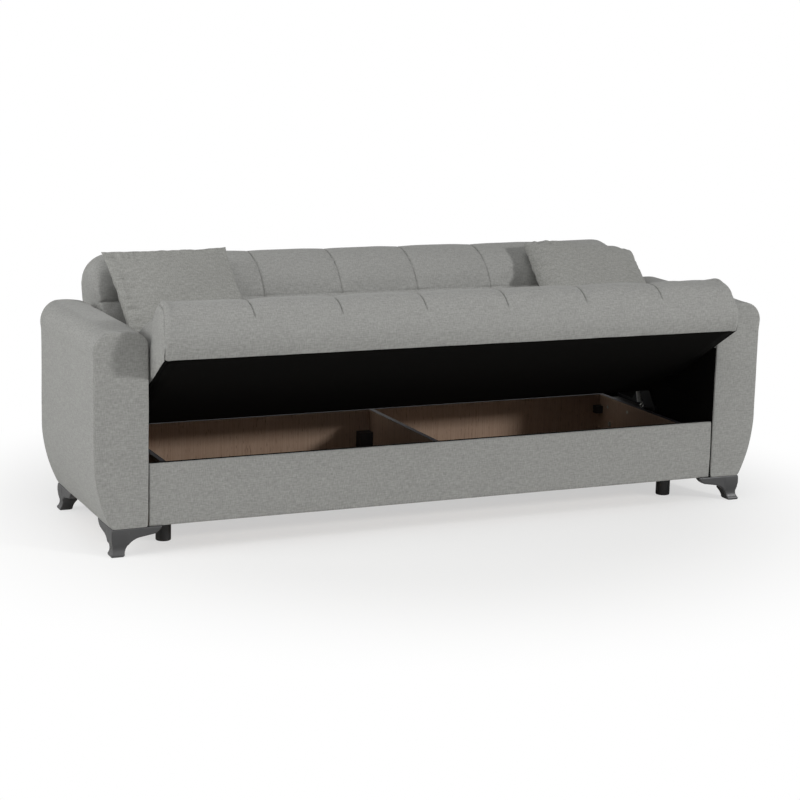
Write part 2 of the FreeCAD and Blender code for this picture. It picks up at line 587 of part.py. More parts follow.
def make_carriages():
    """The plates that slide with the hinge line, each with its hinge pin, two slot studs and a spring stud."""
    y, z = hinge_open
    half = STUD_SPREAD + CARRIAGE_EDGE
    waist = CARRIAGE_WAIST - STUD_DROP
    points = [
        (-half, -STUD_DROP - 15), (half, -STUD_DROP - 15), (half, -STUD_DROP + 15), (EAR_RADIUS + 6, waist),
        (EAR_RADIUS, 0), (-EAR_RADIUS, 0), (-EAR_RADIUS - 10, waist), (-half, -STUD_DROP + 15),
    ]
    plate = plate_outline([(y + dy, z + dz) for dy, dz in points], carriage_x, PLATE)
    ear = rod(EAR_RADIUS, (carriage_x, y, z), (carriage_x + PLATE, y, z))
    plate = plate.fuse(ear)
    plate = plate.cut(rod(PIN_RADIUS + PIN_FIT, (carriage_x - 1, y, z), (carriage_x + PLATE + 1, y, z)))
    studs = []
    for side in (-1, 1):
        centre = (y + side * STUD_SPREAD, z - STUD_DROP)
        neck = STUD_RADIUS - 2
        plate = plate.cut(rod(neck + PIN_FIT, (carriage_x - 1, *centre), (carriage_x + PLATE + 1, *centre)))
        stud = rod(STUD_RADIUS, (rail_plate_x - PLATE_GAP, *centre), (lining_x - 0.2, *centre))
        studs.append(stud.fuse(rod(neck, (carriage_x, *centre), (rail_plate_x, *centre))))
    place = spring_stud_place()
    stud_hole = rod(HOOK_STUD_RADIUS + PIN_FIT, (carriage_x - 1, *place), (carriage_x + PLATE + 1, *place))
    plate = plate.cut(stud_hole)
    hook_stud = rod(HOOK_STUD_RADIUS, (hook_x - 6, *place), (carriage_x + PLATE, *place))
    hook_stud = hook_stud.fuse(rod(HOOK_STUD_RADIUS + 3, (hook_x - 7.5, *place), (hook_x - 5.5, *place)))
    hook_stud = hook_stud.fuse(rod(HOOK_STUD_RADIUS + 3, (carriage_x - 2, *place), (carriage_x, *place)))
    pin = rod(PIN_RADIUS, (relief_x - 2.5, y, z), (lining_x + 0.6, y, z))
    pin = pin.fuse(rod(PIN_RADIUS + 4, (relief_x - 2.0, y, z), (seat_plate_x - 0.2, y, z)))
    add_pair("carriage_plate", plate)
    add_pair("hinge_pin", pin)
    nodes["carriage_studs"] = both_ends(studs + [hook_stud])


def raised(shape):
    """A piece laid out on the hinge line as if closed, tilted back and carried to the open place."""
    shape = shape.copy()
    shape.rotate(Vector(0, 0, 0), Vector(1, 0, 0), -OPEN_ANGLE)
    shape.translate(Vector(0, *hinge_open))
    return shape


def channel_stations():
    """X of the sections of each channel, with how deep the groove is (0 to 1) and how far the end is drawn in.

    The seams are creases, so each channel is a loft of its own between them.
    """
    half = channel_width / 2
    shares = ((0.0, 0.0), (0.5, 0.1), (0.84, 0.5), (1.0, 1.0))
    channels = []
    for index in range(CHANNELS - 2):
        middle = (index - (CHANNELS - 3) / 2) * channel_width
        rise = [(middle - half * at, depth, 0.0) for at, depth in reversed(shares)]
        fall = [(middle + half * at, depth, 0.0) for at, depth in shares[1:]]
        channels.append(rise + fall)
    seam = (CHANNELS - 2) / 2 * channel_width
    last = [(seam, 1.0, 0.0), (seam + half * 0.16, 0.5, 0.0), (seam + half * 0.5, 0.1, 0.0),
            (cushion_x - END_ROUND, 0.0, 0.0), (cushion_x - END_ROUND * 0.4, 0.0, 0.18),
            (cushion_x - END_ROUND * 0.12, 0.0, 0.55), (cushion_x, 0.0, 1.0)]
    channels.append(last)
    channels.insert(0, [(-x, depth, drawn) for x, depth, drawn in reversed(last)])
    return channels


def channelled(section):
    """A cushion lofted channel by channel from section(x, groove depth, draw in)."""
    body = None
    for stations in channel_stations():
        wires = [section(x, depth * GROOVE, drawn * END_DRAW) for x, depth, drawn in stations]
        channel = Part.makeLoft(wires, True, False)
        body = channel if body is None else body.fuse(channel)
    return body


def seat_section(x, groove, drawn):
    """The seat cushion across the sofa: flat below, swollen in front, crowned on top."""
    depth = seat_depth
    top = SEAT_THICKNESS
    back_u = depth - CREASE - drawn
    seam_z = FRONT_SEAM
    steps = [
        [(8 + drawn, 0)],
        [(drawn - FRONT_BULGE * 0.72, seam_z * 0.42), (drawn - FRONT_BULGE, seam_z)],
        [(drawn - FRONT_BULGE * 0.68 + groove * 0.75, seam_z + 58 - drawn * 0.4 - groove * 0.3),
         (24 + drawn + groove * 0.3, top - 9 - drawn - groove)],
        [(depth / 2, top + 5 - drawn - groove), (depth - 32 - drawn, top - 4 - drawn - groove)],
        [(depth - 10 - drawn, top - 11 - drawn - groove * 0.6), (back_u, top - 32 - drawn)],
        [(back_u, 10)],
        [(back_u - 3, 3), (back_u - 10, 0)],
    ]
    return outline((back_u - 10, 0), steps, lambda u, v: Vector(x, u - depth, v - top))


def back_section(x, groove, drawn):
    """The back cushion across the sofa: firm below the tuck line, then channels that roll over the top."""
    height = BACK_HEIGHT - drawn
    root = BACK_ROOT - drawn * 0.6
    top = BACK_TOP - drawn * 0.6
    lead = drawn + CREASE / 2
    steps = [
        [(18 + lead, CREASE)],
        [(6 + lead, CREASE + 5), (lead, CREASE + 20)],
        [(lead - BACK_CROWN, TUCK * 0.54), (lead + 3, TUCK)],
        [(lead + 11 + groove, TUCK + (BACK_HEIGHT - TUCK) * 0.46 - drawn * 0.3),
         (lead + 68 + groove * 0.7, height - 18 - groove * 0.8)],
        [(lead + 120, height - groove * 0.8), (top - 42, height - 14 - groove * 0.5)],
        [(top - 12, height - 36 - groove * 0.2), (top, height - 76)],
        [(root, CREASE + 12)],
        [(root - 4, CREASE + 4), (root - 12, CREASE)],
    ]
    return outline((root - 12, CREASE), steps, lambda d, s: Vector(x, d, s))


def zigzag(x, start, end, place, height):
    """A hidden zigzag spring from rail to rail, in the plane of the cushion frame."""
    runs = int((end - start) / ZIGZAG_PITCH)
    pitch = (end - start) / runs
    edges = []
    for run in range(runs + 1):
        way = 1 if run % 2 == 0 else -1
        at = start + run * pitch
        first = place(x - way * ZIGZAG_HALF, at, height)
        last = place(x + way * ZIGZAG_HALF, at, height)
        edges.append(Part.makeLine(first, last))
        if run < runs:
            bend = place(x + way * (ZIGZAG_HALF + pitch / 2), at + pitch / 2, height)
            edges.append(Part.Arc(last, bend, place(x + way * ZIGZAG_HALF, at + pitch, height)).toShape())
    circle = Part.makeCircle(SPRING_WIRE_HIDDEN / 2, place(x - ZIGZAG_HALF, start, height), Vector(1, 0, 0))
    return Part.Wire(edges).makePipeShell([Part.Wire([circle])], True, False)


def cushion_frame(place_box, span):
    """A glued timber frame: two long rails, two ends and three cross rails, between span's two values."""
    low, high = span
    frame = place_box((-frame_x, frame_x), (low, low + RAIL))
    frame = frame.fuse(place_box((-frame_x, frame_x), (high - RAIL, high)))
    for centre in (-frame_x + RAIL / 2, -frame_x / 2, 0.0, frame_x / 2, frame_x - RAIL / 2):
        frame = frame.fuse(place_box((centre - RAIL / 2, centre + RAIL / 2), (low, high)))
    return frame.removeSplitter()


def spring_places():
    """X of the hidden springs, spread between the cross rails."""
    bays = 4
    per_bay = max(1, round(ZIGZAG_COUNT / bays))
    places = []
    for bay in range(bays):
        low = -frame_x + RAIL + bay * (2 * frame_x - RAIL) / bays
        width = (2 * frame_x - RAIL) / bays - RAIL
        places += [low + width * (at + 0.5) / per_bay for at in range(per_bay)]
    return places


def make_seat():
    """Seat cushion on its frame and springs, cloth below, and the plates that turn on the hinge pins."""
    base = -SEAT_THICKNESS
    span = (-seat_depth + FRAME_MARGIN, -FRAME_MARGIN)

    def seat_box(x_range, y_range, z_range=(base, base + RAIL_HEIGHT)):
        """A block in the hinge line's frame, by default as high as the rails."""
        return box(x_range, y_range, z_range)

    frame = cushion_frame(seat_box, span)
    cushion = channelled(seat_section)
    pocket = seat_box((-frame_x - POCKET, frame_x + POCKET), (span[0] - POCKET, span[1] + POCKET),
                      (base - 1, base + POCKET_DEPTH))
    cushion = cushion.cut(pocket)
    relief = seat_box((relief_x, cushion_x + 5), (-SEAT_PLATE_REACH - 3, 20), (base - 1, 20))
    notch = seat_box((frame_x + 12, cushion_x + 5), (-SEAT_CORNER, 5), (base - 5, base + POCKET_DEPTH))
    pin_well = rod(EAR_RADIUS + 2, (relief_x - 4, 0, 0), (relief_x + 1, 0, 0))
    places = [(-reach, base + SEAT_BOLT_RISE) for reach in SEAT_BOLTS]
    holes = []
    bolts = []
    for y, z in places:
        holes.append(rod(BOLT_RADIUS + PIN_FIT, (frame_x - BOLT_GRIP - 1, y, z), (cushion_x + 5, y, z)))
        bolts.append(bolt((seat_plate_x + PLATE, y, z), (frame_x - BOLT_GRIP, y, z)))
    for cut in [relief, notch, pin_well]:
        cushion = cushion.cut(cut).cut(mirrored(cut))
    points = [(-SEAT_PLATE_REACH, base + 10), (-136, base + 10), (-118, base + 56), (12, -8), (EAR_RADIUS, 0),
              (-2, EAR_RADIUS), (-EAR_RADIUS - 4, 2), (-150, base + 64), (-SEAT_PLATE_REACH, base + 42)]
    plate = plate_outline(points, seat_plate_x, PLATE)
    plate = plate.fuse(rod(EAR_RADIUS, (seat_plate_x, 0, 0), (seat_plate_x + PLATE, 0, 0)))
    plate = plate.cut(rod(PIN_RADIUS + PIN_FIT, (seat_plate_x - 1, 0, 0), (seat_plate_x + PLATE + 1, 0, 0)))
    for hole in holes:
        cushion = cushion.cut(hole).cut(mirrored(hole))
        frame = frame.cut(hole).cut(mirrored(hole))
        plate = plate.cut(hole)
    springs = [zigzag(x, span[0] + 12, span[1] - 12, Vector, base + RAIL_HEIGHT + SPRING_WIRE_HIDDEN / 2 + 0.1)
               for x in spring_places()]
    cloth = seat_box((-cushion_x + 8, cushion_x - 8), (-seat_depth + 12, -12), (base - CLOTH, base))
    corner = seat_box((frame_x + 12, cushion_x), (-SEAT_CORNER, 0), (base - 5, base + 5))
    cloth = cloth.cut(corner).cut(mirrored(corner))
    nodes["seat_cushion"] = raised(cushion)
    nodes["seat_frame"] = raised(frame)
    nodes["seat_springs"] = raised(Part.makeCompound(springs))
    nodes["seat_underside_cloth"] = raised(cloth)
    add_pair("seat_plate", raised(plate))
    nodes["seat_plate_bolts"] = raised(both_ends(bolts))


def make_back():
    """Back cushion on its frame and springs, a covered rear panel, and the plates on the hinge pins."""
    rear = BACK_ROOT - 4.0
    span = (FRAME_MARGIN, BACK_HEIGHT - 66)

    def back_box(x_range, z_range, y_range=(rear - RAIL_HEIGHT, rear)):
        """A block in the hinge line's frame, by default as deep as the rails."""
        return box(x_range, y_range, z_range)

    frame = cushion_frame(back_box, span)
    cushion = channelled(back_section)
    pocket = back_box((-frame_x - POCKET, frame_x + POCKET), (span[0] - POCKET, span[1] + POCKET),
                      (rear - POCKET_DEPTH, rear + POCKET))
    opening = back_box((-frame_x + 8, frame_x - 8), (span[0] + 8, span[1] - 8), (rear - 1, BACK_TOP + 20))
    cushion = cushion.cut(pocket).cut(opening)
    relief = back_box((relief_x, cushion_x + 5), (-20, 45), (-20, BACK_ROOT + 20))
    side_relief = back_box((back_plate_x - RELIEF_CLEAR / 2, cushion_x + 5), (-20, 260), (-20, BACK_TOP + 20))
    pin_well = rod(EAR_RADIUS + 2, (relief_x - 4, 0, 0), (relief_x + 1, 0, 0))
    for cut in [relief, side_relief, pin_well]:
        cushion = cushion.cut(cut).cut(mirrored(cut))
    points = [(-EAR_RADIUS + 2, 2), (2, -EAR_RADIUS + 2), (24, 2), (rear - 8, 42), (rear - 8, BACK_PLATE_REACH),
              (rear - 38, BACK_PLATE_REACH), (rear - 44, 74), (4, 26), (-EAR_RADIUS + 4, 10)]
    plate = plate_outline(points, back_plate_x, PLATE)
    plate = plate.fuse(rod(EAR_RADIUS, (back_plate_x, 0, 0), (back_plate_x + PLATE, 0, 0)))
    plate = plate.cut(rod(PIN_RADIUS + PIN_FIT, (back_plate_x - 1, 0, 0), (back_plate_x + PLATE + 1, 0, 0)))
    bolts = []
    for y, z in [(rear - BACK_BOLT_INSET, rise) for rise in BACK_BOLTS]:
        hole = rod(BOLT_RADIUS + PIN_FIT, (frame_x - BOLT_GRIP - 1, y, z), (cushion_x + 15, y, z))
        bolts.append(bolt((back_plate_x + PLATE, y, z), (frame_x - BOLT_GRIP, y, z)))
        cushion = cushion.cut(hole).cut(mirrored(hole))
        frame = frame.cut(hole).cut(mirrored(hole))
        plate = plate.cut(hole)

    def upright(x, at, height):
        """Places a hidden spring of the back: at runs up the back, height is its depth."""
        return Vector(x, height, at)

    springs = [zigzag(x, span[0] + 12, span[1] - 12, upright, rear - RAIL_HEIGHT - SPRING_WIRE_HIDDEN / 2 - 0.1)
               for x in spring_places()]
    panel = back_box((-frame_x + 9, frame_x - 9), (span[0] + 9, span[1] - 9), (rear, rear + REAR_SHEET))
    nodes["back_cushion"] = raised(cushion)
    nodes["back_frame"] = raised(frame)
    nodes["back_springs"] = raised(Part.makeCompound(springs))
    nodes["back_rear_panel"] = raised(panel)
    add_pair("back_plate", raised(plate))
    nodes["back_plate_bolts"] = raised(both_ends(bolts))


def pillow(x, turn):
    """A square pillow: two swollen faces on a seam whose corners stand out and whose sides pull in."""
    half_height = PILLOW_HEIGHT / 2
    wires = []
    for share in (-1.0, -0.93, -0.75, -0.45, 0.0, 0.45, 0.75, 0.93, 1.0):
        fullness = (1 - share * share) ** 0.5
        half_width = PILLOW_WIDTH / 2 * (1 - PILLOW_DRAW * (1 - share * share))
        front = -PILLOW_EDGE - (PILLOW_FRONT - PILLOW_EDGE) * fullness
        rear = PILLOW_EDGE + (PILLOW_REAR - PILLOW_EDGE) * fullness
        z = share * half_height
        left = Vector(-half_width, 0, z)
        right = Vector(half_width, 0, z)
        edges = [Part.Arc(left, Vector(0, front, z), right), Part.Arc(right, Vector(0, rear, z), left)]
        wires.append(Part.Wire([edge.toShape() for edge in edges]))
    shape = Part.makeLoft(wires, True, False)
    shape.rotate(Vector(0, 0, 0), Vector(0, 0, 1), turn)
    shape.rotate(Vector(0, 0, 0), Vector(1, 0, 0), -PILLOW_LEAN)
    shape.translate(Vector(x, -PILLOW_FRONT - PILLOW_REAR, PILLOW_UP))
    return leaned(raised(shape), nodes["back_cushion"])


def leaned(pillow_shape, back):
    """The pillow pushed square to the back until only its clearance is left."""
    tilt = math.radians(OPEN_ANGLE)
    way = Vector(0, math.cos(tilt), -math.sin(tilt))
    for _ in range(3):
        gap = pillow_shape.distToShape(back)[0]
        pillow_shape.translate(way * (gap - PILLOW_CLEAR))
    print("pillow's gap to the back", round(pillow_shape.distToShape(back)[0], 3))
    return pillow_shape


make_arms()
make_feet()
make_box()
make_base_mechanism()
make_carriages()
make_seat()
make_back()
pillow_reach = inner_x - PILLOW_WIDTH / 2
nodes["left_pillow"] = pillow(LEFT_PILLOW_GAP - pillow_reach, 0.0)
nodes["right_pillow"] = pillow(pillow_reach - RIGHT_PILLOW_GAP, RIGHT_PILLOW_TURN)

extremes = [shape.optimalBoundingBox(True, False) for shape in nodes.values()]
middle_y = (min(extreme.YMin for extreme in extremes) + max(extreme.YMax for extreme in extremes)) / 2
os.makedirs("parts", exist_ok=True)
for name, shape in nodes.items():
    shape.translate(Vector(0, -middle_y, 0))
    shape.exportStep("parts/" + name + ".step")
print("nodes", len(nodes), "shift along Y", round(-middle_y, 3))
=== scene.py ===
"""Dresses the storage sofa: upholstery, pillows, storage box, feet, mechanism, and the studio round it.

Lengths in the code are metres unless a name ends in _mm. The frame's own pieces stay where they are; the
soft pieces are modelled anew over them, and every hard piece gets its real finish.
"""
from __future__ import annotations

import json
import logging
import math
from contextlib import contextmanager
from dataclasses import dataclass, field
from enum import Enum
from typing import Callable, Iterator, Sequence

import bmesh
import bpy
import numpy as np
from mathutils import Matrix, Vector, noise


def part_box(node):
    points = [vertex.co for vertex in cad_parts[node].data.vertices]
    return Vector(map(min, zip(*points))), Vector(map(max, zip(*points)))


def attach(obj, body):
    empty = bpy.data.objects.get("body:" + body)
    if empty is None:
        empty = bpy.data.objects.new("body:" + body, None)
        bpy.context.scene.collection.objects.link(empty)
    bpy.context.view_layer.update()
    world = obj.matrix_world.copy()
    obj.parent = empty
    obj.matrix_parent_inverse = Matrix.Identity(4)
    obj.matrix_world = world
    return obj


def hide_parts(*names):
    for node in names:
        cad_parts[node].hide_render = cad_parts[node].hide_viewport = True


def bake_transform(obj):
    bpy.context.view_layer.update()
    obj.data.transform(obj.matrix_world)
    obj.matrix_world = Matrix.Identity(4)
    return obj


LOG = logging.getLogger("sofa")
Piece = bpy.types.Object
Material = bpy.types.Material
MM = 0.001

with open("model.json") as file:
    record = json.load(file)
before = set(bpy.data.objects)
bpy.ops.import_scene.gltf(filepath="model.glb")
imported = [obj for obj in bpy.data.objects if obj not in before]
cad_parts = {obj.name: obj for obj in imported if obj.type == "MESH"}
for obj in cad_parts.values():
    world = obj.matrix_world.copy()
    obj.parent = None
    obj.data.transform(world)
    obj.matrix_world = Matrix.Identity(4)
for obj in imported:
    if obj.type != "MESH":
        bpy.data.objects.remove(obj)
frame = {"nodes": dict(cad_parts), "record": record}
bpy.ops.object.select_all(action="DESELECT")
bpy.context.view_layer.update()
JOINTS = {joint["name"]: joint for joint in frame["record"]["behaviour"]["joints"]}
HINGE = Vector(JOINTS["seat_lift"]["pos_m"])
TILT = math.radians(-JOINTS["seat_lift"]["range_deg"][0])
ARM_FRONT_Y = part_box("left_arm_facing")[0].y
WAYS = {"left": -1.0, "right": 1.0}
BESIDE_PLATES_MM = 929.0    # half the width of the cushions where the steel plates pass them
NOTCH_MM = (889.5, 142.0, 50.0)     # of the seat's lower rear corners: half width inside, length, height
SEAM_MM = 2.4               # width of a seam's groove
CHANNEL_MM = 100.0          # from a seam to where its channel is full
LENGTHWAYS = np.array([1.0, 0.0, 0.0])
LINING_MM = 1.0             # thickness of the sheets of lining
FRAMES = 14                 # steps of a cloth simulation
SPRING_SHARE = 0.45         # share of a lift spring's triangles that is kept
CLOTH = {
    "quality": 4, "mass": 0.25, "tension_stiffness": 25.0, "compression_stiffness": 12.0, "shear_stiffness": 8.0,
    "bending_stiffness": 0.4, "tension_damping": 10.0, "compression_damping": 10.0,
}


class Slot(Enum):
    """The record's material slots."""

    CLOTH = "grey_weave"
    LINING = "black_lining"
    BOARD = "brown_board"
    BAND = "edge_band"
    TIMBER = "timber"
    FOOT = "charcoal_plastic"
    LEG = "black_plastic"
    BLACK_STEEL = "black_steel"
    ZINC = "zinc_steel"
    SPRING = "spring_steel"


# Materials

NOISE, MATH, MIX = "ShaderNodeTexNoise", "ShaderNodeMath", "ShaderNodeMix"
SPLIT, RANGE, BUMP = "ShaderNodeSeparateXYZ", "ShaderNodeMapRange", "ShaderNodeBump"
Socket = bpy.types.NodeSocket
Tree = bpy.types.NodeTree
Inputs = dict[str | int, object]


def linear(code: str) -> tuple[float, float, float, float]:
    """Turns an sRGB hex colour into linear values.

    Args:
        code: The colour as "#rrggbb".

    Returns:
        Red, green, blue and an alpha of one.
    """
    values = [int(code[at:at + 2], 16) / 255 for at in (1, 3, 5)]
    red, green, blue = (v / 12.92 if v <= 0.04045 else ((v + 0.055) / 1.055) ** 2.4 for v in values)
    return red, green, blue, 1.0


def connect(tree: Tree, node: bpy.types.Node, inputs: Inputs) -> None:
    """Links a socket to, or puts a value on, each input that is named or numbered."""
    for name, value in inputs.items():
        if isinstance(value, Socket):
            tree.links.new(value, node.inputs[name])
        else:
            node.inputs[name].default_value = value


def add_node(tree: Tree, kind: str, inputs: Inputs | None = None, **settings: object) -> bpy.types.Node:
    """Adds a node with its settings and inputs.

    Args:
        tree: The node tree that gets the node.
        kind: The node's type name.
        inputs: Sockets or values, by the name or number of the input they go to.
        **settings: Properties of the node itself.

    Returns:
        The new node.
    """
    node = tree.nodes.new(kind)
    for name, value in settings.items():
        setattr(node, name, value)
    connect(tree, node, inputs or {})
    return node


def new_material(name: str) -> tuple[Material, Tree, bpy.types.Node]:
    """Makes a material with a Principled shader on its output.

    Args:
        name: The material's name.

    Returns:
        The material, its node tree and the shader node.
    """
    material = bpy.data.materials.new(name)
    material.use_nodes = True
    tree = material.node_tree
    tree.nodes.clear()
    shader = add_node(tree, "ShaderNodeBsdfPrincipled")
    add_node(tree, "ShaderNodeOutputMaterial", {"Surface": shader.outputs["BSDF"]})
    return material, tree, shader


@dataclass(frozen=True)
class Finish:
    """A material; each kind of finish says what its surface is."""

    name: str

    def surface(self, tree: Tree, place: Socket) -> Inputs:
        """Adds the surface's nodes.

        Args:
            tree: The material's node tree.
            place: The object's own coordinates, in metres.

        Returns:
            The Principled shader's inputs.
        """
        raise NotImplementedError

    def build(self) -> Material:
        """Makes the material."""
        material, tree, shader = new_material(self.name)
        place = add_node(tree, "ShaderNodeTexCoord").outputs["Object"]
        connect(tree, shader, self.surface(tree, place))
        return material


@dataclass(frozen=True)
class WovenPolyester(Finish):
    """Flat-woven upholstery of mixed grey yarns: matt, with a fine cross-hatch and thicker slubs both ways."""

    name: str = "woven_polyester"
    dark: str = "#868683"
    light: str = "#a6a6a3"
    thread_mm: float = 2.8      # drawn about three times as coarse as the yarn, so that it shows
    slub_mm: float = 15.0
    roughness: float = 0.92
    sheen: float = 0.12

    def surface(self, tree: Tree, place: Socket) -> Inputs:
        """Lays threads along and across each face, by the way that the face looks."""
        normal = add_node(tree, "ShaderNodeTexCoord").outputs["Normal"]
        parts = add_node(tree, SPLIT, {0: place}).outputs
        facing = add_node(tree, SPLIT, {0: normal}).outputs
        size = add_node(tree, MATH, {0: facing["X"]}, operation="ABSOLUTE").outputs[0]
        on_side = add_node(tree, MATH, {0: size, 1: 0.72}, operation="GREATER_THAN").outputs[0]
        on_rear = add_node(tree, MATH, {0: facing["Y"], 1: 0.4}, operation="GREATER_THAN").outputs[0]
        rise = add_node(tree, MATH, {0: on_rear, 1: -2.0, 2: 1.0}, operation="MULTIPLY_ADD").outputs[0]
        turned = add_node(tree, MATH, {0: parts["Z"], 1: rise}, operation="MULTIPLY").outputs[0]
        over = add_node(tree, MATH, {0: parts["Y"], 1: turned}, operation="ADD").outputs[0]
        across = add_node(tree, MIX, {0: on_side, 2: parts["X"], 3: parts["Y"]}, data_type="FLOAT").outputs[0]
        run = add_node(tree, MIX, {0: on_side, 2: over, 3: parts["Z"]}, data_type="FLOAT").outputs[0]
        yarns = []
        for across_mm, run_mm, seed in ((self.thread_mm, self.slub_mm, 0.0), (self.slub_mm, self.thread_mm, 3.7)):
            wide = add_node(tree, MATH, {0: across, 1: 1 / (across_mm * MM)}, operation="MULTIPLY").outputs[0]
            high = add_node(tree, MATH, {0: run, 1: 1 / (run_mm * MM)}, operation="MULTIPLY").outputs[0]
            spot = add_node(tree, "ShaderNodeCombineXYZ", {0: wide, 1: high, 2: seed}).outputs[0]
            yarns.append(add_node(tree, NOISE, {"Vector": spot, "Scale": 1.0, "Detail": 1.0}).outputs[0])
        both = add_node(tree, MATH, {0: yarns[0], 1: yarns[1]}, operation="ADD").outputs[0]
        weave = add_node(tree, MATH, {0: both, 1: 0.5}, operation="MULTIPLY").outputs[0]
        cloudy = add_node(tree, NOISE, {"Vector": place, "Scale": 9.0, "Detail": 3.0}).outputs[0]
        shade = add_node(tree, MATH, {0: cloudy, 1: 0.08, 2: -0.04}, operation="MULTIPLY_ADD").outputs[0]
        tone = add_node(tree, MATH, {0: weave, 1: shade}, operation="ADD").outputs[0]
        ramp = add_node(tree, RANGE, {0: tone, 1: 0.27, 2: 0.73}).outputs[0]
        colours = {0: ramp, 6: linear(self.dark), 7: linear(self.light)}
        return {
            "Base Color": add_node(tree, MIX, colours, data_type="RGBA").outputs[2],
            "Normal": add_node(tree, BUMP, {"Height": weave, "Strength": 0.3, "Distance": 0.0008}).outputs[0],
            "Roughness": self.roughness,
            "Sheen Weight": self.sheen,
            "Sheen Roughness": 0.5,
            "Specular IOR Level": 0.2,
        }


@dataclass(frozen=True)
class SpunLining(Finish):
    """Black spun-bonded lining: a thin felt of fused fibres, dull all over."""

    name: str = "spunbond_lining"
    colour: str = "#080807"
    speck: str = "#100f0e"

    def surface(self, tree: Tree, place: Socket) -> Inputs:
        """Specks the felt with its fibres."""
        fibres = add_node(tree, NOISE, {"Vector": place, "Scale": 160.0, "Detail": 6.0}).outputs[0]
        colours = {0: fibres, 6: linear(self.colour), 7: linear(self.speck)}
        return {
            "Base Color": add_node(tree, MIX, colours, data_type="RGBA").outputs[2],
            "Normal": add_node(tree, BUMP, {"Height": fibres, "Strength": 0.3, "Distance": 0.001}).outputs[0],
            "Roughness": 0.95,
            "Specular IOR Level": 0.05,
        }


@dataclass(frozen=True)
class GrainedBoard(Finish):
    """Melamine-faced chipboard or planed wood: straight grain drawn out along one axis, with short dark pores."""

    base: str
    streak: str
    pore: str
    stretch: tuple[float, float, float] = (330.0, 330.0, 5.0)
    pore_stretch: tuple[float, float, float] = (420.0, 420.0, 40.0)
    roughness: float = 0.55
    specular: float = 0.35

    def surface(self, tree: Tree, place: Socket) -> Inputs:
        """Draws the grain, then the pores on it."""
        colour, grain = linear(self.base), None
        for stretch, detail, low, high, ink in (
            (self.stretch, 4.0, 0.35, 0.68, self.streak), (self.pore_stretch, 1.0, 0.64, 0.76, self.pore)
        ):
            way = add_node(tree, "ShaderNodeMapping", {0: place, 3: stretch}).outputs[0]
            marks = add_node(tree, NOISE, {"Vector": way, "Scale": 1.0, "Detail": detail}).outputs[0]
            share = add_node(tree, RANGE, {0: marks, 1: low, 2: high}).outputs[0]
            colour = add_node(tree, MIX, {0: share, 6: colour, 7: linear(ink)}, data_type="RGBA").outputs[2]
            grain = marks if grain is None else grain
        return {
            "Base Color": colour,
            "Normal": add_node(tree, BUMP, {"Height": grain, "Strength": 0.15, "Distance": 0.0004}).outputs[0],
            "Roughness": self.roughness,
            "Specular IOR Level": self.specular,
        }


@dataclass(frozen=True)
class EvenFinish(Finish):
    """One colour, with a fine unevenness in its gloss and its height."""

    colour: str
    roughness: float
    grain_mm: float
    detail: float
    glossier: float             # how far the roughness falls
    duller: float               # how far it rises
    relief: tuple[float, float]     # the bump's strength and distance

    def surface(self, tree: Tree, place: Socket) -> Inputs:
        """Varies the gloss and the height with one noise."""
        size = 1 / (self.grain_mm * MM)
        grain = add_node(tree, NOISE, {"Vector": place, "Scale": size, "Detail": self.detail}).outputs[0]
        gloss = {0: grain, 3: self.roughness - self.glossier, 4: self.roughness + self.duller}
        strength, distance = self.relief
        bump = {"Height": grain, "Strength": strength, "Distance": distance}
        return {
            "Base Color": linear(self.colour),
            "Roughness": add_node(tree, RANGE, gloss).outputs[0],
            "Normal": add_node(tree, BUMP, bump).outputs[0],
        }


@dataclass(frozen=True)
class MouldedPlastic(EvenFinish):
    """Injection-moulded polypropylene or ABS: one colour with a faint orange-peel and slightly uneven gloss."""

    grain_mm: float = 6.0
    detail: float = 2.0
    glossier: float = 0.06
    duller: float = 0.08
    relief: tuple[float, float] = (0.12, 0.0004)

    def surface(self, tree: Tree, place: Socket) -> Inputs:
        """Adds the plastic's IOR."""
        return {**super().surface(tree, place), "IOR": 1.49}


@dataclass(frozen=True)
class Steel(EvenFinish):
    """Steel as the mechanism has it: zinc plate or drawn wire with a fine grain, or a black powder coat."""

    grain_mm: float = 0.9
    detail: float = 3.0
    glossier: float = 0.08
    duller: float = 0.1
    relief: tuple[float, float] = (0.1, 0.0002)
    metallic: float = 1.0
    specular: float = 0.5

    def surface(self, tree: Tree, place: Socket) -> Inputs:
        """Adds what makes it metal or paint."""
        metal = {"Metallic": self.metallic, "Specular IOR Level": self.specular}
        return {**super().surface(tree, place), **metal}


def dress(piece: Piece, material: Material) -> None:
    """Gives a piece its only material, and a CAD node the same on each of its material slots."""
    if piece.material_slots:
        for material_slot in piece.material_slots:
            material_slot.material = material
    else:
        piece.data.materials.append(material)


# Pieces and modifiers


def new_piece(name: str, data: bpy.types.ID) -> Piece:
    """Puts a new object in the scene."""
    piece = bpy.data.objects.new(name, data)
    bpy.context.scene.collection.objects.link(piece)
    return piece


def mesh_piece(name: str, points: np.ndarray, faces: list[tuple[int, ...]]) -> Piece:
    """Makes an object from points in metres and faces."""
    mesh = bpy.data.meshes.new(name)
    mesh.from_pydata(points.tolist(), [], faces)
    return new_piece(name, mesh)


@contextmanager
def editing(mesh: bpy.types.Mesh) -> Iterator[bmesh.types.BMesh]:
    """Opens a mesh for editing, and writes it back after."""
    work = bmesh.new()
    work.from_mesh(mesh)
    yield work
    work.to_mesh(mesh)
    work.free()


def turn_outwards(mesh: bpy.types.Mesh) -> None:
    """Recalculates a closed mesh's normals outwards and shades it smooth."""
    with editing(mesh) as work:
        bmesh.ops.recalc_face_normals(work, faces=work.faces)
        for face in work.faces:
            face.smooth = True


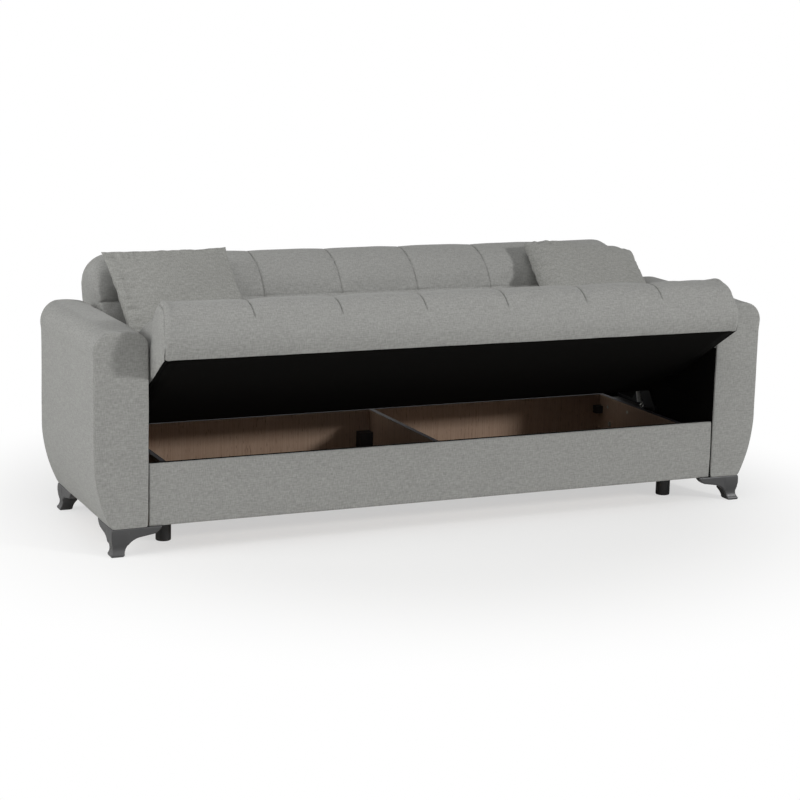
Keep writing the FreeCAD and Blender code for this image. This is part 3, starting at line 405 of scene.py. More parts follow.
def modify(piece: Piece, kind: str, **settings: object) -> bpy.types.Modifier:
    """Adds a modifier with its settings."""
    modifier = piece.modifiers.new(kind.lower(), kind)
    for name, value in settings.items():
        setattr(modifier, name, value)
    return modifier


def apply_modifiers(piece: Piece) -> None:
    """Applies every modifier of a piece."""
    bpy.ops.object.select_all(action="DESELECT")
    piece.select_set(True)
    bpy.context.view_layer.objects.active = piece
    for modifier in list(piece.modifiers):
        bpy.ops.object.modifier_apply(modifier=modifier.name)
    piece.select_set(False)


def subdivide(piece: Piece) -> None:
    """Applies one level of smooth subdivision."""
    modify(piece, "SUBSURF", levels=1, render_levels=1)
    apply_modifiers(piece)


# Soft shells


def arc(
    start: Sequence[float], through: Sequence[float], end: Sequence[float], steps: int = 24
) -> list[tuple[float, float]]:
    """Points along the arc through three points of a plane, without the first.

    Args:
        start: Where the arc starts.
        through: A point on the way.
        end: Where it ends.
        steps: How many points to give.

    Returns:
        The points, the last of them the end.
    """
    (ax, ay), (bx, by), (cx, cy) = start, through, end
    double = 2 * (ax * (by - cy) + bx * (cy - ay) + cx * (ay - by))
    a2, b2, c2 = ax * ax + ay * ay, bx * bx + by * by, cx * cx + cy * cy
    ox = (a2 * (by - cy) + b2 * (cy - ay) + c2 * (ay - by)) / double
    oy = (a2 * (cx - bx) + b2 * (ax - cx) + c2 * (bx - ax)) / double
    radius = math.hypot(ax - ox, ay - oy)
    first = math.atan2(ay - oy, ax - ox)
    middle = (math.atan2(by - oy, bx - ox) - first) % math.tau
    sweep = (math.atan2(cy - oy, cx - ox) - first) % math.tau
    if middle > sweep:
        sweep -= math.tau
    angles = [first + sweep * (at + 1) / steps for at in range(steps)]
    return [(ox + radius * math.cos(angle), oy + radius * math.sin(angle)) for angle in angles]


def along(points: Sequence[Sequence[float]], stops: Sequence[float]) -> np.ndarray:
    """Points at given shares of a polyline's length."""
    line = np.array(points, float)
    lengths = np.concatenate([[0.0], np.cumsum(np.linalg.norm(np.diff(line, axis=0), axis=1))])
    at = np.array(stops) * lengths[-1]
    return np.stack([np.interp(at, lengths, line[:, axis]) for axis in (0, 1)], axis=1)


def even(count: int) -> np.ndarray:
    """Shares from 0 to 1 in even steps."""
    return np.linspace(0.0, 1.0, count + 1)


def towards(count: int, power: float = 1.5) -> np.ndarray:
    """Shares from 0 to 1 in steps that shorten towards 1."""
    return 1 - (1 - even(count)) ** power


def crowded(count: int, length: float, mark: float, offsets: Sequence[float]) -> np.ndarray:
    """Shares of a length, even but for extra ones close to a mark.

    Args:
        count: How many steps in all.
        length: The full length.
        mark: Where the extra ones lie.
        offsets: Distances of the extra ones on each side of the mark, rising.

    Returns:
        count + 1 rising shares from 0 to 1.
    """
    near = [-offset for offset in reversed(offsets)] + [0.0] + list(offsets)
    left = count - len(near) + 1
    before = max(1, round(left * (mark + near[0]) / (length + near[0] - near[-1])))
    first = np.linspace(0.0, mark + near[0], before + 1)
    last = np.linspace(mark + near[-1], length, left - before + 1)
    return np.concatenate([first, mark + np.array(near[1:-1]), last]) / length


@dataclass
class Section:
    """A closed outline of four sides: points, outward normals, and the number of steps on the sides."""

    sides: list[list[tuple[float, float]]]
    stops: list[np.ndarray]
    points: np.ndarray = field(init=False)
    normals: np.ndarray = field(init=False)
    steps: tuple[int, int] = field(init=False)

    def __post_init__(self) -> None:
        """Samples the sides and works out the normals."""
        parts = [along(side, stop)[:-1] for side, stop in zip(self.sides, self.stops)]
        self.points = np.concatenate(parts)
        self.steps = (len(parts[0]), len(parts[1]))
        way = np.roll(self.points, -1, axis=0) - np.roll(self.points, 1, axis=0)
        normals = np.stack([way[:, 1], -way[:, 0]], axis=1)
        normals /= np.linalg.norm(normals, axis=1, keepdims=True)
        x, y = self.points.T
        area = np.sum(x * np.roll(y, -1) - np.roll(x, -1) * y)
        self.normals = normals if area > 0 else -normals

    def drawn_in(self, inset: np.ndarray) -> np.ndarray:
        """The outline once for each row of insets, drawn in along its normals."""
        return self.points[None] - self.normals[None] * inset[..., None]

    def patch(self, ring: np.ndarray) -> np.ndarray:
        """Fills a ring of 3-D points with a grid that follows its four sides.

        Args:
            ring: Points in the section's order.

        Returns:
            The grid's points, (steps on side 0) + 1 by (steps on side 1) + 1.
        """
        wide, high = self.steps
        closed = np.concatenate([ring, ring[:1]])
        low = closed[:wide + 1]
        right = closed[wide:wide + high + 1]
        top = closed[wide + high:2 * wide + high + 1][::-1]
        left = closed[2 * wide + high:][::-1]
        s = np.linspace(0, 1, wide + 1)[:, None, None]
        t = np.linspace(0, 1, high + 1)[None, :, None]
        between = (1 - t) * low[:, None] + t * top[:, None] + (1 - s) * left[None] + s * right[None]
        corners = (1 - s) * (1 - t) * low[0] + s * (1 - t) * low[-1] + (1 - s) * t * top[0] + s * t * top[-1]
        return between - corners


@dataclass
class Shell:
    """A closed skin through rings of points, with a filled patch at each end."""

    section: Section
    rings: np.ndarray
    bulge: np.ndarray
    bulge_size: float = 0.0

    def build(self, name: str) -> Piece:
        """Makes the mesh object.

        Args:
            name: The object's name.

        Returns:
            The object, smooth shaded, with outward normals.
        """
        count, around = self.rings.shape[:2]
        wide, high = self.section.steps
        points = [self.rings.reshape(-1, 3)]
        faces = []
        for ring in range(count - 1):
            for at in range(around):
                after = (at + 1) % around
                low, up = ring * around, (ring + 1) * around
                faces.append((low + at, low + after, up + after, up + at))
        start = count * around
        for ring, way in ((0, -1.0), (count - 1, 1.0)):
            patch = self.section.patch(self.rings[ring])
            s = even(wide)[1:-1, None]
            t = even(high)[None, 1:-1]
            swell = (16 * s * (1 - s) * t * (1 - t)) ** 0.38 * self.bulge_size
            inner = patch[1:-1, 1:-1] + swell[..., None] * self.bulge * way
            points.append(inner.reshape(-1, 3))

            def spot(a: int, b: int) -> int:
                """Index of the patch's point a, b, on the ring or inside."""
                base = ring * around
                if b == 0:
                    return base + a % around
                if a == wide:
                    return base + (wide + b) % around
                if b == high:
                    return base + (2 * wide + high - a) % around
                if a == 0:
                    return base + (2 * wide + 2 * high - b) % around
                return start + (a - 1) * (high - 1) + b - 1

            for a in range(wide):
                for b in range(high):
                    faces.append((spot(a, b), spot(a + 1, b), spot(a + 1, b + 1), spot(a, b + 1)))
            start += (wide - 1) * (high - 1)
        piece = mesh_piece(name, np.concatenate(points), faces)
        turn_outwards(piece.data)
        return piece


def coordinates(mesh: bpy.types.Mesh) -> np.ndarray:
    """A mesh's points as an array."""
    flat = np.empty(len(mesh.vertices) * 3)
    mesh.vertices.foreach_get("co", flat)
    return flat.reshape(-1, 3)


def move_points(mesh: bpy.types.Mesh, points: np.ndarray) -> None:
    """Puts a mesh's points where the array says."""
    mesh.vertices.foreach_set("co", points.reshape(-1))
    mesh.update()


def ripple(piece: Piece, amount: float, size: float, seed: float) -> None:
    """Presses a slow unevenness into a soft piece, along its normals.

    Args:
        piece: The object.
        amount: Greatest movement either way.
        size: Length of the unevenness.
        seed: Where in the noise it is taken from.
    """
    shift = Vector((seed, seed * 1.7, -seed))
    points = coordinates(piece.data)
    normals = np.empty_like(points)
    piece.data.vertex_normals.foreach_get("vector", normals.reshape(-1))
    height = [noise.fractal(Vector(point) / size + shift, 1.0, 2.0, 2) for point in points]
    move_points(piece.data, points + normals * (amount * np.array(height))[:, None])


def inflate(
    piece: Piece, held: np.ndarray, pressure: float, grow: float, cap: float
) -> None:
    """Blows a sewn cover up with cloth physics, so that it strains and puckers between its seams.

    Args:
        piece: The cover, a little smaller than it ends.
        held: How firmly each point is held, 0 to 1.
        pressure: The filling's pressure.
        grow: Share by which the cloth is cut larger than the piece.
        cap: Furthest that a point may end from where it starts.
    """
    before = coordinates(piece.data)
    group = piece.vertex_groups.new(name="held")
    for index in np.nonzero(held > 0)[0]:
        group.add([int(index)], float(held[index]), "REPLACE")
    modifier = modify(piece, "CLOTH")
    settings = {
        **CLOTH, "use_pressure": True, "uniform_pressure_force": pressure, "shrink_min": -grow,
        "vertex_group_mass": "held",
    }
    for name, value in settings.items():
        setattr(modifier.settings, name, value)
    modifier.settings.effector_weights.gravity = 0.0
    modifier.collision_settings.use_collision = False
    modifier.collision_settings.use_self_collision = False
    modifier.point_cache.frame_start = 1
    modifier.point_cache.frame_end = FRAMES
    scene = bpy.context.scene
    for step in range(1, FRAMES + 1):
        scene.frame_set(step)
    apply_modifiers(piece)
    piece.vertex_groups.clear()
    moved = coordinates(piece.data) - before
    far = np.linalg.norm(moved, axis=1, keepdims=True)
    eased = cap * np.tanh(far / cap)
    move_points(piece.data, before + moved * eased / np.maximum(far, 1e-9))
    scene.frame_set(1)
    LOG.info("%s moved by up to %.1f mm", piece.name, far.max() / MM)


def leaning(x: np.ndarray, depth: np.ndarray, height: np.ndarray) -> np.ndarray:
    """Points of the seat's and back's own frame, in millimetres from the hinge line, put in the sofa's frame."""
    y = depth * math.cos(TILT) + height * math.sin(TILT)
    z = -depth * math.sin(TILT) + height * math.cos(TILT)
    return np.stack([x * MM, HINGE.y + y * MM, HINGE.z + z * MM], axis=-1)


def smooth_step(value: np.ndarray, low: float, high: float) -> np.ndarray:
    """Rises smoothly from 0 at low to 1 at high."""
    share = np.clip((value - low) / (high - low), 0.0, 1.0)
    return share * share * (3 - 2 * share)


def flatten_ends(piece: Piece, reach: Callable[[np.ndarray, np.ndarray], np.ndarray]) -> None:
    """Keeps a cushion's ends clear of the mechanism and the arms.

    Args:
        piece: The cushion.
        reach: How much further it may swell, in millimetres, by depth and height in the leaning frame.
    """
    points = coordinates(piece.data)
    y, z = points[:, 1] - HINGE.y, points[:, 2] - HINGE.z
    depth = (y * math.cos(TILT) - z * math.sin(TILT)) / MM
    height = (y * math.sin(TILT) + z * math.cos(TILT)) / MM
    limit = (BESIDE_PLATES_MM + reach(depth, height)) * MM
    points[:, 0] = np.clip(points[:, 0], -limit, limit)
    move_points(piece.data, points)


@dataclass
class Channels:
    """The seven sewn channels of a cushion, in millimetres along the sofa."""

    half: float
    width: float = 267.0
    count: int = 7
    near: tuple[float, ...] = (1.6, 4.0, 8.0, 13.0, 19.0, 26.0, 34.0, 43.0, 53.0, 64.0, 76.0, 89.0, 103.0, 118.0)
    end: tuple[float, ...] = (0.0, 1.6, 4.0, 7.5, 12.0, 17.0, 23.0, 30.0, 38.0, 47.0, 57.0, 68.0, 80.0)

    def seams(self) -> list[float]:
        """X of the seams between channels."""
        return [(at - (self.count - 2) / 2) * self.width for at in range(self.count - 1)]

    def stations(self) -> np.ndarray:
        """X of every ring, crowded at the seams and the ends."""
        places = [self.half - inset for inset in self.end]
        for seam in self.seams():
            places.append(seam)
            for offset in self.near + (self.width / 2,):
                for side in (-1, 1):
                    if abs(seam + side * offset) < self.half - self.end[-1] - 5:
                        places.append(seam + side * offset)
        places += [-place for place in places]
        return np.array(sorted({round(place, 3) for place in places}))

    def from_seam(self, stations: np.ndarray) -> np.ndarray:
        """Distance of each station from its nearest seam."""
        return np.abs(stations[:, None] - np.array(self.seams())[None]).min(axis=1)

    def from_end(self, stations: np.ndarray) -> np.ndarray:
        """Distance of each station from its end of the cushion."""
        return self.half - np.abs(stations)


def bell(distance: np.ndarray, width: float) -> np.ndarray:
    """A smooth bump: 1 at distance 0, and near 0 beyond twice the width."""
    return np.exp(-(distance / width) ** 2)


def rounded(distance: np.ndarray, radius: np.ndarray) -> np.ndarray:
    """How far a skin is drawn in at a distance from an end that is rounded to a radius."""
    radius = np.maximum(radius, 0.01)
    share = 1 - np.minimum(distance, radius) / radius
    return radius * (1 - np.sqrt(np.maximum(0.0, 1 - share * share)))


def relief(
    from_seam: np.ndarray, crown: float, crease: float, swelling: np.ndarray, sewn: np.ndarray
) -> tuple[np.ndarray, np.ndarray]:
    """How far the channels swell, and how deep their seams are.

    Args:
        from_seam: Distance of each ring from its nearest seam.
        crown: Greatest swelling.
        crease: Depth of a seam.
        swelling: Share of the swelling at each point of the section.
        sewn: Share of the seam's depth there.

    Returns:
        The swelling and the depth, ring by point.
    """
    hump = crown * (1 - (1 - np.minimum(1.0, from_seam / CHANNEL_MM)) ** 2.2) * swelling[None]
    return hump, crease * bell(from_seam, SEAM_MM) * sewn[None]


@dataclass
class SeatCushion:
    """The seat: foam under cloth, seven channels, a firm front that swells past its hem, and boxed ends."""

    depth: float = 525.0
    thick: float = 185.0
    front_swell: float = 36.0
    seam_foot: float = 83.0
    crown: float = 4.0
    crease: float = 4.5
    seam_end: float = 99.0      # height at which the channels' seams stop on the front
    end_swell: float = 4.0
    end_reach: float = 2.0      # of the ends past the node, below the crown
    end_lean: float = 12.0      # how much narrower the top is than the middle at each end
    flare: float = 3.0          # of the front's lower corners
    corner_seam: float = 9.0    # depth of the seam between the front and the boxed ends
    ear: float = 3.5            # how far the front corner's tip stands up
    steps: tuple[int, int] = (44, 26)

    def section(self) -> Section:
        """The seat's outline from the rear hem, forwards below, up the front, back over the top and down."""
        depth, thick = self.depth, self.thick
        low = [(depth - 12, 0.0), (8.0, 0.0)]
        front = [low[-1]]
        front += arc(front[-1], (-self.front_swell * 0.72, 35.0), (-self.front_swell, self.seam_foot))
        front += arc(front[-1], (-24.5, 142.0), (24.0, thick - 6))
        top = [front[-1]]
        top += arc(top[-1], (depth / 2, thick + 5), (depth - 32, thick - 5))
        rear = [top[-1]]
        rear += arc(rear[-1], (depth - 10, thick - 12), (depth - 2, thick - 32))
        rear.append((depth - 2, 10.0))
        rear += arc(rear[-1], (depth - 5, 3.0), low[0], 6)
        wide, high = self.steps
        near_front = towards(wide)
        return Section([low, front, top, rear], [near_front, even(high), 1 - near_front[::-1], even(high)])

    def build(self, cloth: Material, lining: Material) -> Piece:
        """Makes the cushion over its node and dresses it."""
        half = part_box("seat_cushion")[1].x / MM + self.end_reach
        channels = Channels(half)
        section = self.section()
        stations = channels.stations()
        u, v = section.points.T
        wide, high = self.steps
        index = np.arange(len(u))
        on_front = (index >= wide) & (index <= wide + high)
        on_top = (index >= wide + high) & (index <= 2 * wide + high)
        sewn = np.where(on_front, smooth_step(v, self.seam_end - 5, self.seam_end + 5), 0.0)
        sewn = np.where(on_top, 1.0, sewn)
        swelling = np.where(on_front, smooth_step(v, self.seam_end - 10, self.seam_end + 45), sewn)
        radius = np.where(on_top, 8.0 + 20.0 * smooth_step(u, 20.0, 130.0), 2.5)
        radius = np.where(on_front, 2.5 + 5.5 * smooth_step(v, 140.0, 178.0), radius)
        from_seam = channels.from_seam(stations)[:, None]
        from_end = channels.from_end(stations)[:, None]
        crown, groove = relief(from_seam, self.crown, self.crease, swelling, sewn)
        corner = self.corner_seam * bell(from_end, 3.0) * (on_front & (v < 183))[None]
        corner = corner - 2.5 * bell(from_end - 13.0, 7.0) * on_front[None]
        tip = bell(from_end, 16.0) * np.exp(-(((u - 8.0) ** 2 + (v - 172.0) ** 2) / 22.0 ** 2))[None]
        inset = groove + corner - crown - self.ear * tip + rounded(from_end, radius[None])
        points = section.drawn_in(inset)
        wider = self.flare * (1 - smooth_step(v, 0.0, 90.0)) * (1 - smooth_step(u, 20.0, 160.0))
        wider = wider - self.end_lean * smooth_step(v, 50.0, 180.0)
        near = smooth_step(np.abs(stations), half - 120.0, half)[:, None]
        x = stations[:, None] + np.sign(stations)[:, None] * near * wider[None]
        rings = leaning(x, points[..., 0] - self.depth, points[..., 1] - self.thick)
        piece = Shell(section, rings, LENGTHWAYS, self.end_swell * MM).build("seat_cover")
        held = np.zeros(len(piece.data.vertices))
        firm = (v < 4.0) | (u > self.depth - 4.0)
        lines = (from_seam < 0.5) & (sewn[None] > 0.4)
        corners = (from_end < 0.5) & on_front[None]
        taut = 0.9 * (on_front & (v < self.seam_end - 8))[None]
        held[:lines.size] = np.maximum(lines | corners | firm[None], taut).reshape(-1)
        inflate(piece, held, 3.0, 0.012, 5.0 * MM)
        ripple(piece, 0.9 * MM, 0.11, 4.0)
        subdivide(piece)
        flatten_ends(piece, lambda depth, height: 12 * smooth_step(-depth, 236.0, 280.0))
        finish_soft(piece, "seat", cloth, 0.8, "seat_cushion")
        around, skin = len(u), len(u) * (len(stations) - 1)

        def below(face: bpy.types.MeshPolygon) -> bool:
            """Tells whether a face lies on the side below; the subdivision made four faces of each."""
            return face.index // 4 < skin and face.index // 4 % around < wide

        line_faces(piece, lining, below)
        self.cut_corners(piece, lining)
        return piece

    def cut_corners(self, piece: Piece, lining: Material) -> None:
        """Cuts the cushion's lower rear corners away, where the lift springs stand, and lines the cut."""
        inner, length, height = NOTCH_MM
        corners = np.array([(x, depth, up) for x in (inner, 970.0) for depth in (-length, 40.0)
                            for up in (-self.thick - 30.0, height - self.thick)])
        faces = [(0, 1, 3, 2), (4, 6, 7, 5), (0, 4, 5, 1), (2, 3, 7, 6), (0, 2, 6, 4), (1, 5, 7, 3)]
        points = [leaning(way * corners[:, 0], corners[:, 1], corners[:, 2]) for way in (-1.0, 1.0)]
        faces += [tuple(at + len(corners) for at in face) for face in faces]
        cutter = mesh_piece("corner_cutter", np.concatenate(points), faces)
        turn_outwards(cutter.data)
        dress(cutter, lining)
        modify(piece, "BOOLEAN", operation="DIFFERENCE", solver="EXACT", material_mode="TRANSFER", object=cutter)
        apply_modifiers(piece)
        bpy.data.objects.remove(cutter)


@dataclass
class BackCushion:
    """The back: plain below the tuck line, seven channels above it that roll over the top."""

    height: float = 421.0       # to the seams; the channels stand above them
    root: float = 185.0
    top: float = 216.0
    tuck: float = 221.0
    crown: float = 3.0
    crease: float = 4.0
    end_swell: float = 5.0
    end_reach: float = 5.0
    steps: tuple[int, int] = (50, 26)

    def section(self) -> Section:
        """The back's outline, up the front, over the top, down the rear and forwards below."""
        front = [(19.0, 2.0)]
        front += arc(front[-1], (7.0, 7.0), (1.5, 22.0))
        front += arc(front[-1], (-7.0, self.tuck * 0.54), (4.0, self.tuck))
        front += arc(front[-1], (13.0, self.tuck + 100), (70.0, self.height - 17))
        top = [front[-1]]
        top += arc(top[-1], (121.0, self.height), (self.top - 42, self.height - 14))
        top += arc(top[-1], (self.top - 12, self.height - 36), (self.top, self.height - 76))
        rear = [top[-1], (self.root, 14.0)]
        low = [rear[-1]]
        low += arc(low[-1], (self.root - 4, 6.0), (self.root - 12, 2.0), 6)
        low.append(front[0])
        tall, wide = self.steps
        length = float(np.sum(np.linalg.norm(np.diff(np.array(front), axis=0), axis=1)))
        line = np.array(front)
        past = np.concatenate([[0.0], np.cumsum(np.linalg.norm(np.diff(line, axis=0), axis=1))])
        mark = float(np.interp(self.tuck, line[:, 1], past))
        stops = crowded(tall, length, mark, (1.8, 4.5, 9.0))
        return Section([front, top, rear, low], [stops, even(wide), even(tall), even(wide)])

    def build(self, cloth: Material) -> Piece:
        """Makes the cushion over its node and dresses it."""
        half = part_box("back_cushion")[1].x / MM + self.end_reach
        channels = Channels(half)
        section = self.section()
        stations = channels.stations()
        d, s = section.points.T
        tall, wide = self.steps
        index = np.arange(len(d))
        on_front = index <= tall
        on_top = (index > tall) & (index <= tall + wide)
        on_rear = (index > tall + wide) & (index < 2 * tall + wide)
        above = smooth_step(s, self.tuck - 3, self.tuck + 5)
        sewn = np.where(on_front, above, 0.0) + np.where(on_top, 1.0, 0.0)
        sewn += np.where(on_rear, smooth_step(s, self.height - 140, self.height - 90), 0.0)
        swelling = np.where(on_front, smooth_step(s, self.tuck - 2, self.tuck + 50), sewn)
        radius = np.where(on_top, 72.0, 10.0)
        radius = np.where(on_front, 8.0 + 54.0 * smooth_step(s, 250.0, 405.0), radius)
        radius = np.where(on_rear, 10.0 + 52.0 * smooth_step(s, 230.0, 345.0), radius)
        from_seam = channels.from_seam(stations)[:, None]
        from_end = channels.from_end(stations)[:, None]
        crown, groove = relief(from_seam, self.crown, self.crease, swelling, sewn)
        fold = 4.0 * bell(s - self.tuck, 2.6) * on_front
        dimple = 3.0 * bell(from_seam, 9.0) * bell(s - self.tuck, 9.0)[None] * on_front[None]
        inset = groove + fold[None] + dimple - crown + rounded(from_end, radius[None])
        points = section.drawn_in(inset)
        x = np.broadcast_to(stations[:, None], inset.shape)
        rings = leaning(x, points[..., 0], points[..., 1])
        piece = Shell(section, rings, LENGTHWAYS, self.end_swell * MM).build("back_cover")
        held = np.zeros(len(piece.data.vertices))
        firm = (s < 10.0) | on_rear
        tucked = on_front & (np.abs(s - self.tuck) < 1.0)
        lines = (from_seam < 0.5) & (sewn[None] > 0.4)
        held[:lines.size] = (lines | firm[None] | tucked[None]).astype(float).reshape(-1)
        inflate(piece, held, 3.0, 0.01, 4.0 * MM)
        ripple(piece, 0.9 * MM, 0.11, 9.0)
        subdivide(piece)
        flatten_ends(piece, lambda depth, height: 4 * smooth_step(height, 46.0, 62.0)
                     + 9 * smooth_step(height, 130.0, 210.0))
        finish_soft(piece, "back", cloth, 0.8, "back_cushion")
        return piece


def finish_soft(
    piece: Piece, body: str, cloth: Material, fill: float, *nodes: str
) -> None:
    """Dresses a padded piece, lets it ride on its body and puts it in the place of its nodes."""
    dress(piece, cloth)
    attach(piece, body)
    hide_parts(*nodes)
    LOG.info("%s: %d faces", piece.name, len(piece.data.polygons))


def line_faces(
    piece: Piece, lining: Material, test: Callable[[bpy.types.MeshPolygon], bool]
) -> None:
    """Cuts the faces that aren't meant to be seen from lining instead of cloth.

    Args:
        piece: A finished soft piece.
        lining: The lining.
        test: Tells whether a face is lining.
    """
    piece.data.materials.append(lining)
    for face in piece.data.polygons:
        if test(face):
            face.material_index = 1


@dataclass
class Pillow:
    """A loose square pillow: two faces sewn at a knife edge, drawn in between its corners by the filling."""

    side: str
    width: float = 424.0
    height: float = 346.0
    thick: float = 84.0
    draw: float = 0.05          # share of the half width by which the sides pull in
    cells: int = 60
    middle_mm: tuple[float, float, float] = (-706.0, 121.0, 680.0)
    lean: float = 12.0          # past the back's own lean
    turn: float = 4.7
    roll: float = -4.2
    seed: float = 2.0
    puckers: float = 3.4
    arch: float = 0.0           # how far the top edge rises between its corners
    slant: float = 0.3          # how far the folds run sideways from the seam
    flange: float = 13.0        # from the edge to the crease beside it
    profile: float = 0.5        # lower is fuller towards the edges

    def build(self, cloth: Material) -> Piece:
        """Makes the pillow over its node and dresses it."""
        node = self.side + "_pillow"
        steps = np.sin(np.linspace(-math.pi / 2, math.pi / 2, self.cells + 1))
        steps = 0.35 * steps + 0.65 * np.linspace(-1.0, 1.0, self.cells + 1)
        a, b = np.meshgrid(steps, steps, indexing="ij")
        full = ((1 - a ** 2) * (1 - b ** 2)) ** self.profile
        scallop = 1 + 0.012 * np.sin(a * 17 + self.seed) * (np.abs(b) > 0.99)
        x = a * self.width / 2 * (1 - self.draw * (1 - b ** 2))
        z = b * self.height / 2 * (1 - self.draw * (1 - a ** 2)) * scallop
        z = z + self.arch * (1 - a ** 4) * np.maximum(b, 0.0) ** 2
        edge = np.minimum(1 - np.abs(a), 1 - np.abs(b))
        run = np.where(1 - np.abs(a) < 1 - np.abs(b), b * self.height, a * self.width)
        run = run + self.slant * edge * self.width / 2
        fold = np.sin(run / 9.0 + 2.5 * np.sin(run / 31.0 + self.seed)) * bell(edge - 0.13, 0.12)
        fold = fold * (0.25 + 0.75 * smooth_step(-a, 0.2, 0.7))
        crease = 1.8 * bell(edge * self.width / 2 - self.flange, 3.0)
        swell = full * self.thick / 2 + (self.puckers * fold - crease) * (full > 0)
        faces = []
        points = [np.stack([x, way * (swell + 0.4), z], -1).reshape(-1, 3) for way in (-1, 1)]
        row = self.cells + 1
        for layer in (0, 1):
            for at in range(self.cells):
                for up in range(self.cells):
                    corner = layer * row * row + at * row + up
                    faces.append((corner, corner + row, corner + row + 1, corner + 1))
        piece = mesh_piece(self.side + "_pillow_cover", np.concatenate(points) * MM, faces)
        with editing(piece.data) as work:
            bmesh.ops.remove_doubles(work, verts=work.verts, dist=1.0 * MM)
        turn_outwards(piece.data)
        ripple(piece, 2.2 * MM, 0.12, self.seed)
        depth = np.abs(coordinates(piece.data)[:, 1])
        inflate(piece, np.where(depth < 1.2 * MM, 1.0, 0.0), 5.0, 0.018, 10.0 * MM)
        subdivide(piece)
        self.settle(piece)
        finish_soft(piece, node, cloth, 0.7, node)
        return piece

    def settle(self, piece: Piece) -> None:
        """Leans the pillow, made about its own middle, between the seat and the back."""
        turn = Matrix.Rotation(math.radians(self.turn), 3, "Z")
        lean = Matrix.Rotation(math.radians(-self.lean) - TILT, 3, "X")
        roll = Matrix.Rotation(math.radians(self.roll), 3, "Y")
        points = coordinates(piece.data) @ np.array(lean @ turn @ roll).T
        move_points(piece.data, points + np.array(self.middle_mm) * MM)


@dataclass
class Arm:
    """A padded arm: the cover over side and top, and the front facing sewn to its edge."""

    side: str
    swell: float = 6.5
    corner: float = 42.0
    rear_round: float = 20.0
    facing: float = 9.0
    seam_round: float = 2.0
    seam_depth: float = 6.5     # of the seam between facing and cover
    front_round: float = 4.5
    crown: float = 5.0
    lining_top: float = 505.0   # the inner side is black lining up to here, above the closed seat's top
    steps: tuple[int, int] = (16, 52)

    def section(self) -> Section:
        """The arm's outline across the sofa, in millimetres outwards from its foot's inner edge, and up."""
        low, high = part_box("right_arm_pad")
        inner = 952.5
        outer = high.x / MM + 1.0
        foot = 1056.0
        base, top = low.z / MM, high.z / MM
        corner = self.corner
        sole = [(inner - 4, base), (foot, base)]
        outside = [sole[-1]]
        outside += arc(outside[-1], (outer - 15, base + 94), (outer - 1, base + 188))
        outside.append((outer - corner * 0.06, top - corner * 1.86))
        outside += arc(outside[-1], (outer - corner * 0.29, top - corner * 0.55), (outer - corner * 1.07, top - 1))
        over = [outside[-1]]
        over += arc(over[-1], ((outer + inner) / 2, top + 0.5), (inner + corner * 0.86, top - corner * 0.07))
        inside = [over[-1]]
        inside += arc(inside[-1], (inner + corner * 0.17, top - corner * 0.36),
                      (inner - self.swell + 1, top - corner * 1.21))
        inside += arc(inside[-1], (inner - self.swell, (top + base) / 2 + 60), sole[0])
        wide, high_steps = self.steps
        return Section([sole, outside, over, inside], [even(wide), even(high_steps)] * 2)

    def stretch(
        self, name: str, start: float, end: float, front_round: float, rear_round: float, bulge: float
    ) -> Piece:
        """A length of the arm between two depths, rounded at both ends.

        Args:
            name: The object's name.
            start: Depth of its front behind the arm's front, in millimetres.
            end: Depth of its rear.
            front_round: Rounding of the front edge.
            rear_round: Rounding of the rear edge.
            bulge: How far its ends swell.

        Returns:
            The object.
        """
        section = self.section()
        near = np.array([0.0, 0.6, 1.5, 3.0, 5.0, 8.0, 12.0, 17.0, 23.0, 30.0, 38.0, 47.0])
        near = near[near < (end - start) / 2]
        front, rear = start + near, end - near
        middle = np.arange(start + 60.0, end - 60.0, 14.0)
        depths = np.array(sorted({round(float(place), 3) for place in (*front, *middle, *rear)}))
        index = np.arange(len(section.points))
        wide = self.steps[0]
        soft = ((index > 0) & (index < wide)) == 0
        share = np.where(soft, 1.0, 0.12)
        inset = rounded(depths[:, None] - start, front_round * share[None])
        inset += rounded(end - depths[:, None], rear_round * share[None])
        inset += self.seam_depth * bell(depths[:, None] - self.facing, SEAM_MM) * share[None]
        top = (np.maximum(section.normals[:, 1], 0.0) ** 2)[None] * smooth_step(depths, 30.0, 160.0)[:, None]
        points = section.drawn_in(inset - self.crown * top)
        points[..., 1] = np.maximum(points[..., 1], section.points[:, 1].min())
        y = np.broadcast_to(depths[:, None], inset.shape)
        x = WAYS[self.side] * points[..., 0]
        rings = np.stack([x * MM, ARM_FRONT_Y + y * MM, points[..., 1] * MM], axis=-1)
        return Shell(section, rings, np.array([0.0, 1.0, 0.0]), bulge * MM).build(name)

    def build(self, cloth: Material, lining: Material) -> None:
        """Makes the arm's cover and facing over their nodes."""
        length = (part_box(self.side + "_arm_pad")[1].y - ARM_FRONT_Y) / MM
        left = self.side == "left"
        for part, node, start, end, rounds, bulge, bumps, seed in (
            ("cover", "pad", self.facing, length, (self.seam_round, self.rear_round), 0.0, (1.4, 0.16),
             5.0 if left else 8.0),
            ("front", "facing", 0.0, self.facing - 0.2, (self.front_round, self.seam_round), 1.5, (0.8, 0.12),
             12.0 if left else 15.0),
        ):
            piece = self.stretch(f"{self.side}_arm_{part}", start, end, *rounds, bulge)
            ripple(piece, bumps[0] * MM, bumps[1], seed)
            subdivide(piece)
            finish_soft(piece, "base", cloth, 0.9, f"{self.side}_arm_{node}")
            if part == "cover":
                self.line_inside(piece, lining)

    def line_inside(self, cover: Piece, lining: Material) -> None:
        """Lines the cover's inner side up to lining_top, which stands above the closed seat's top."""
        way, top = WAYS[self.side], self.lining_top * MM
        line_faces(cover, lining, lambda face: face.normal.x * way < -0.4 and face.center.z < top)


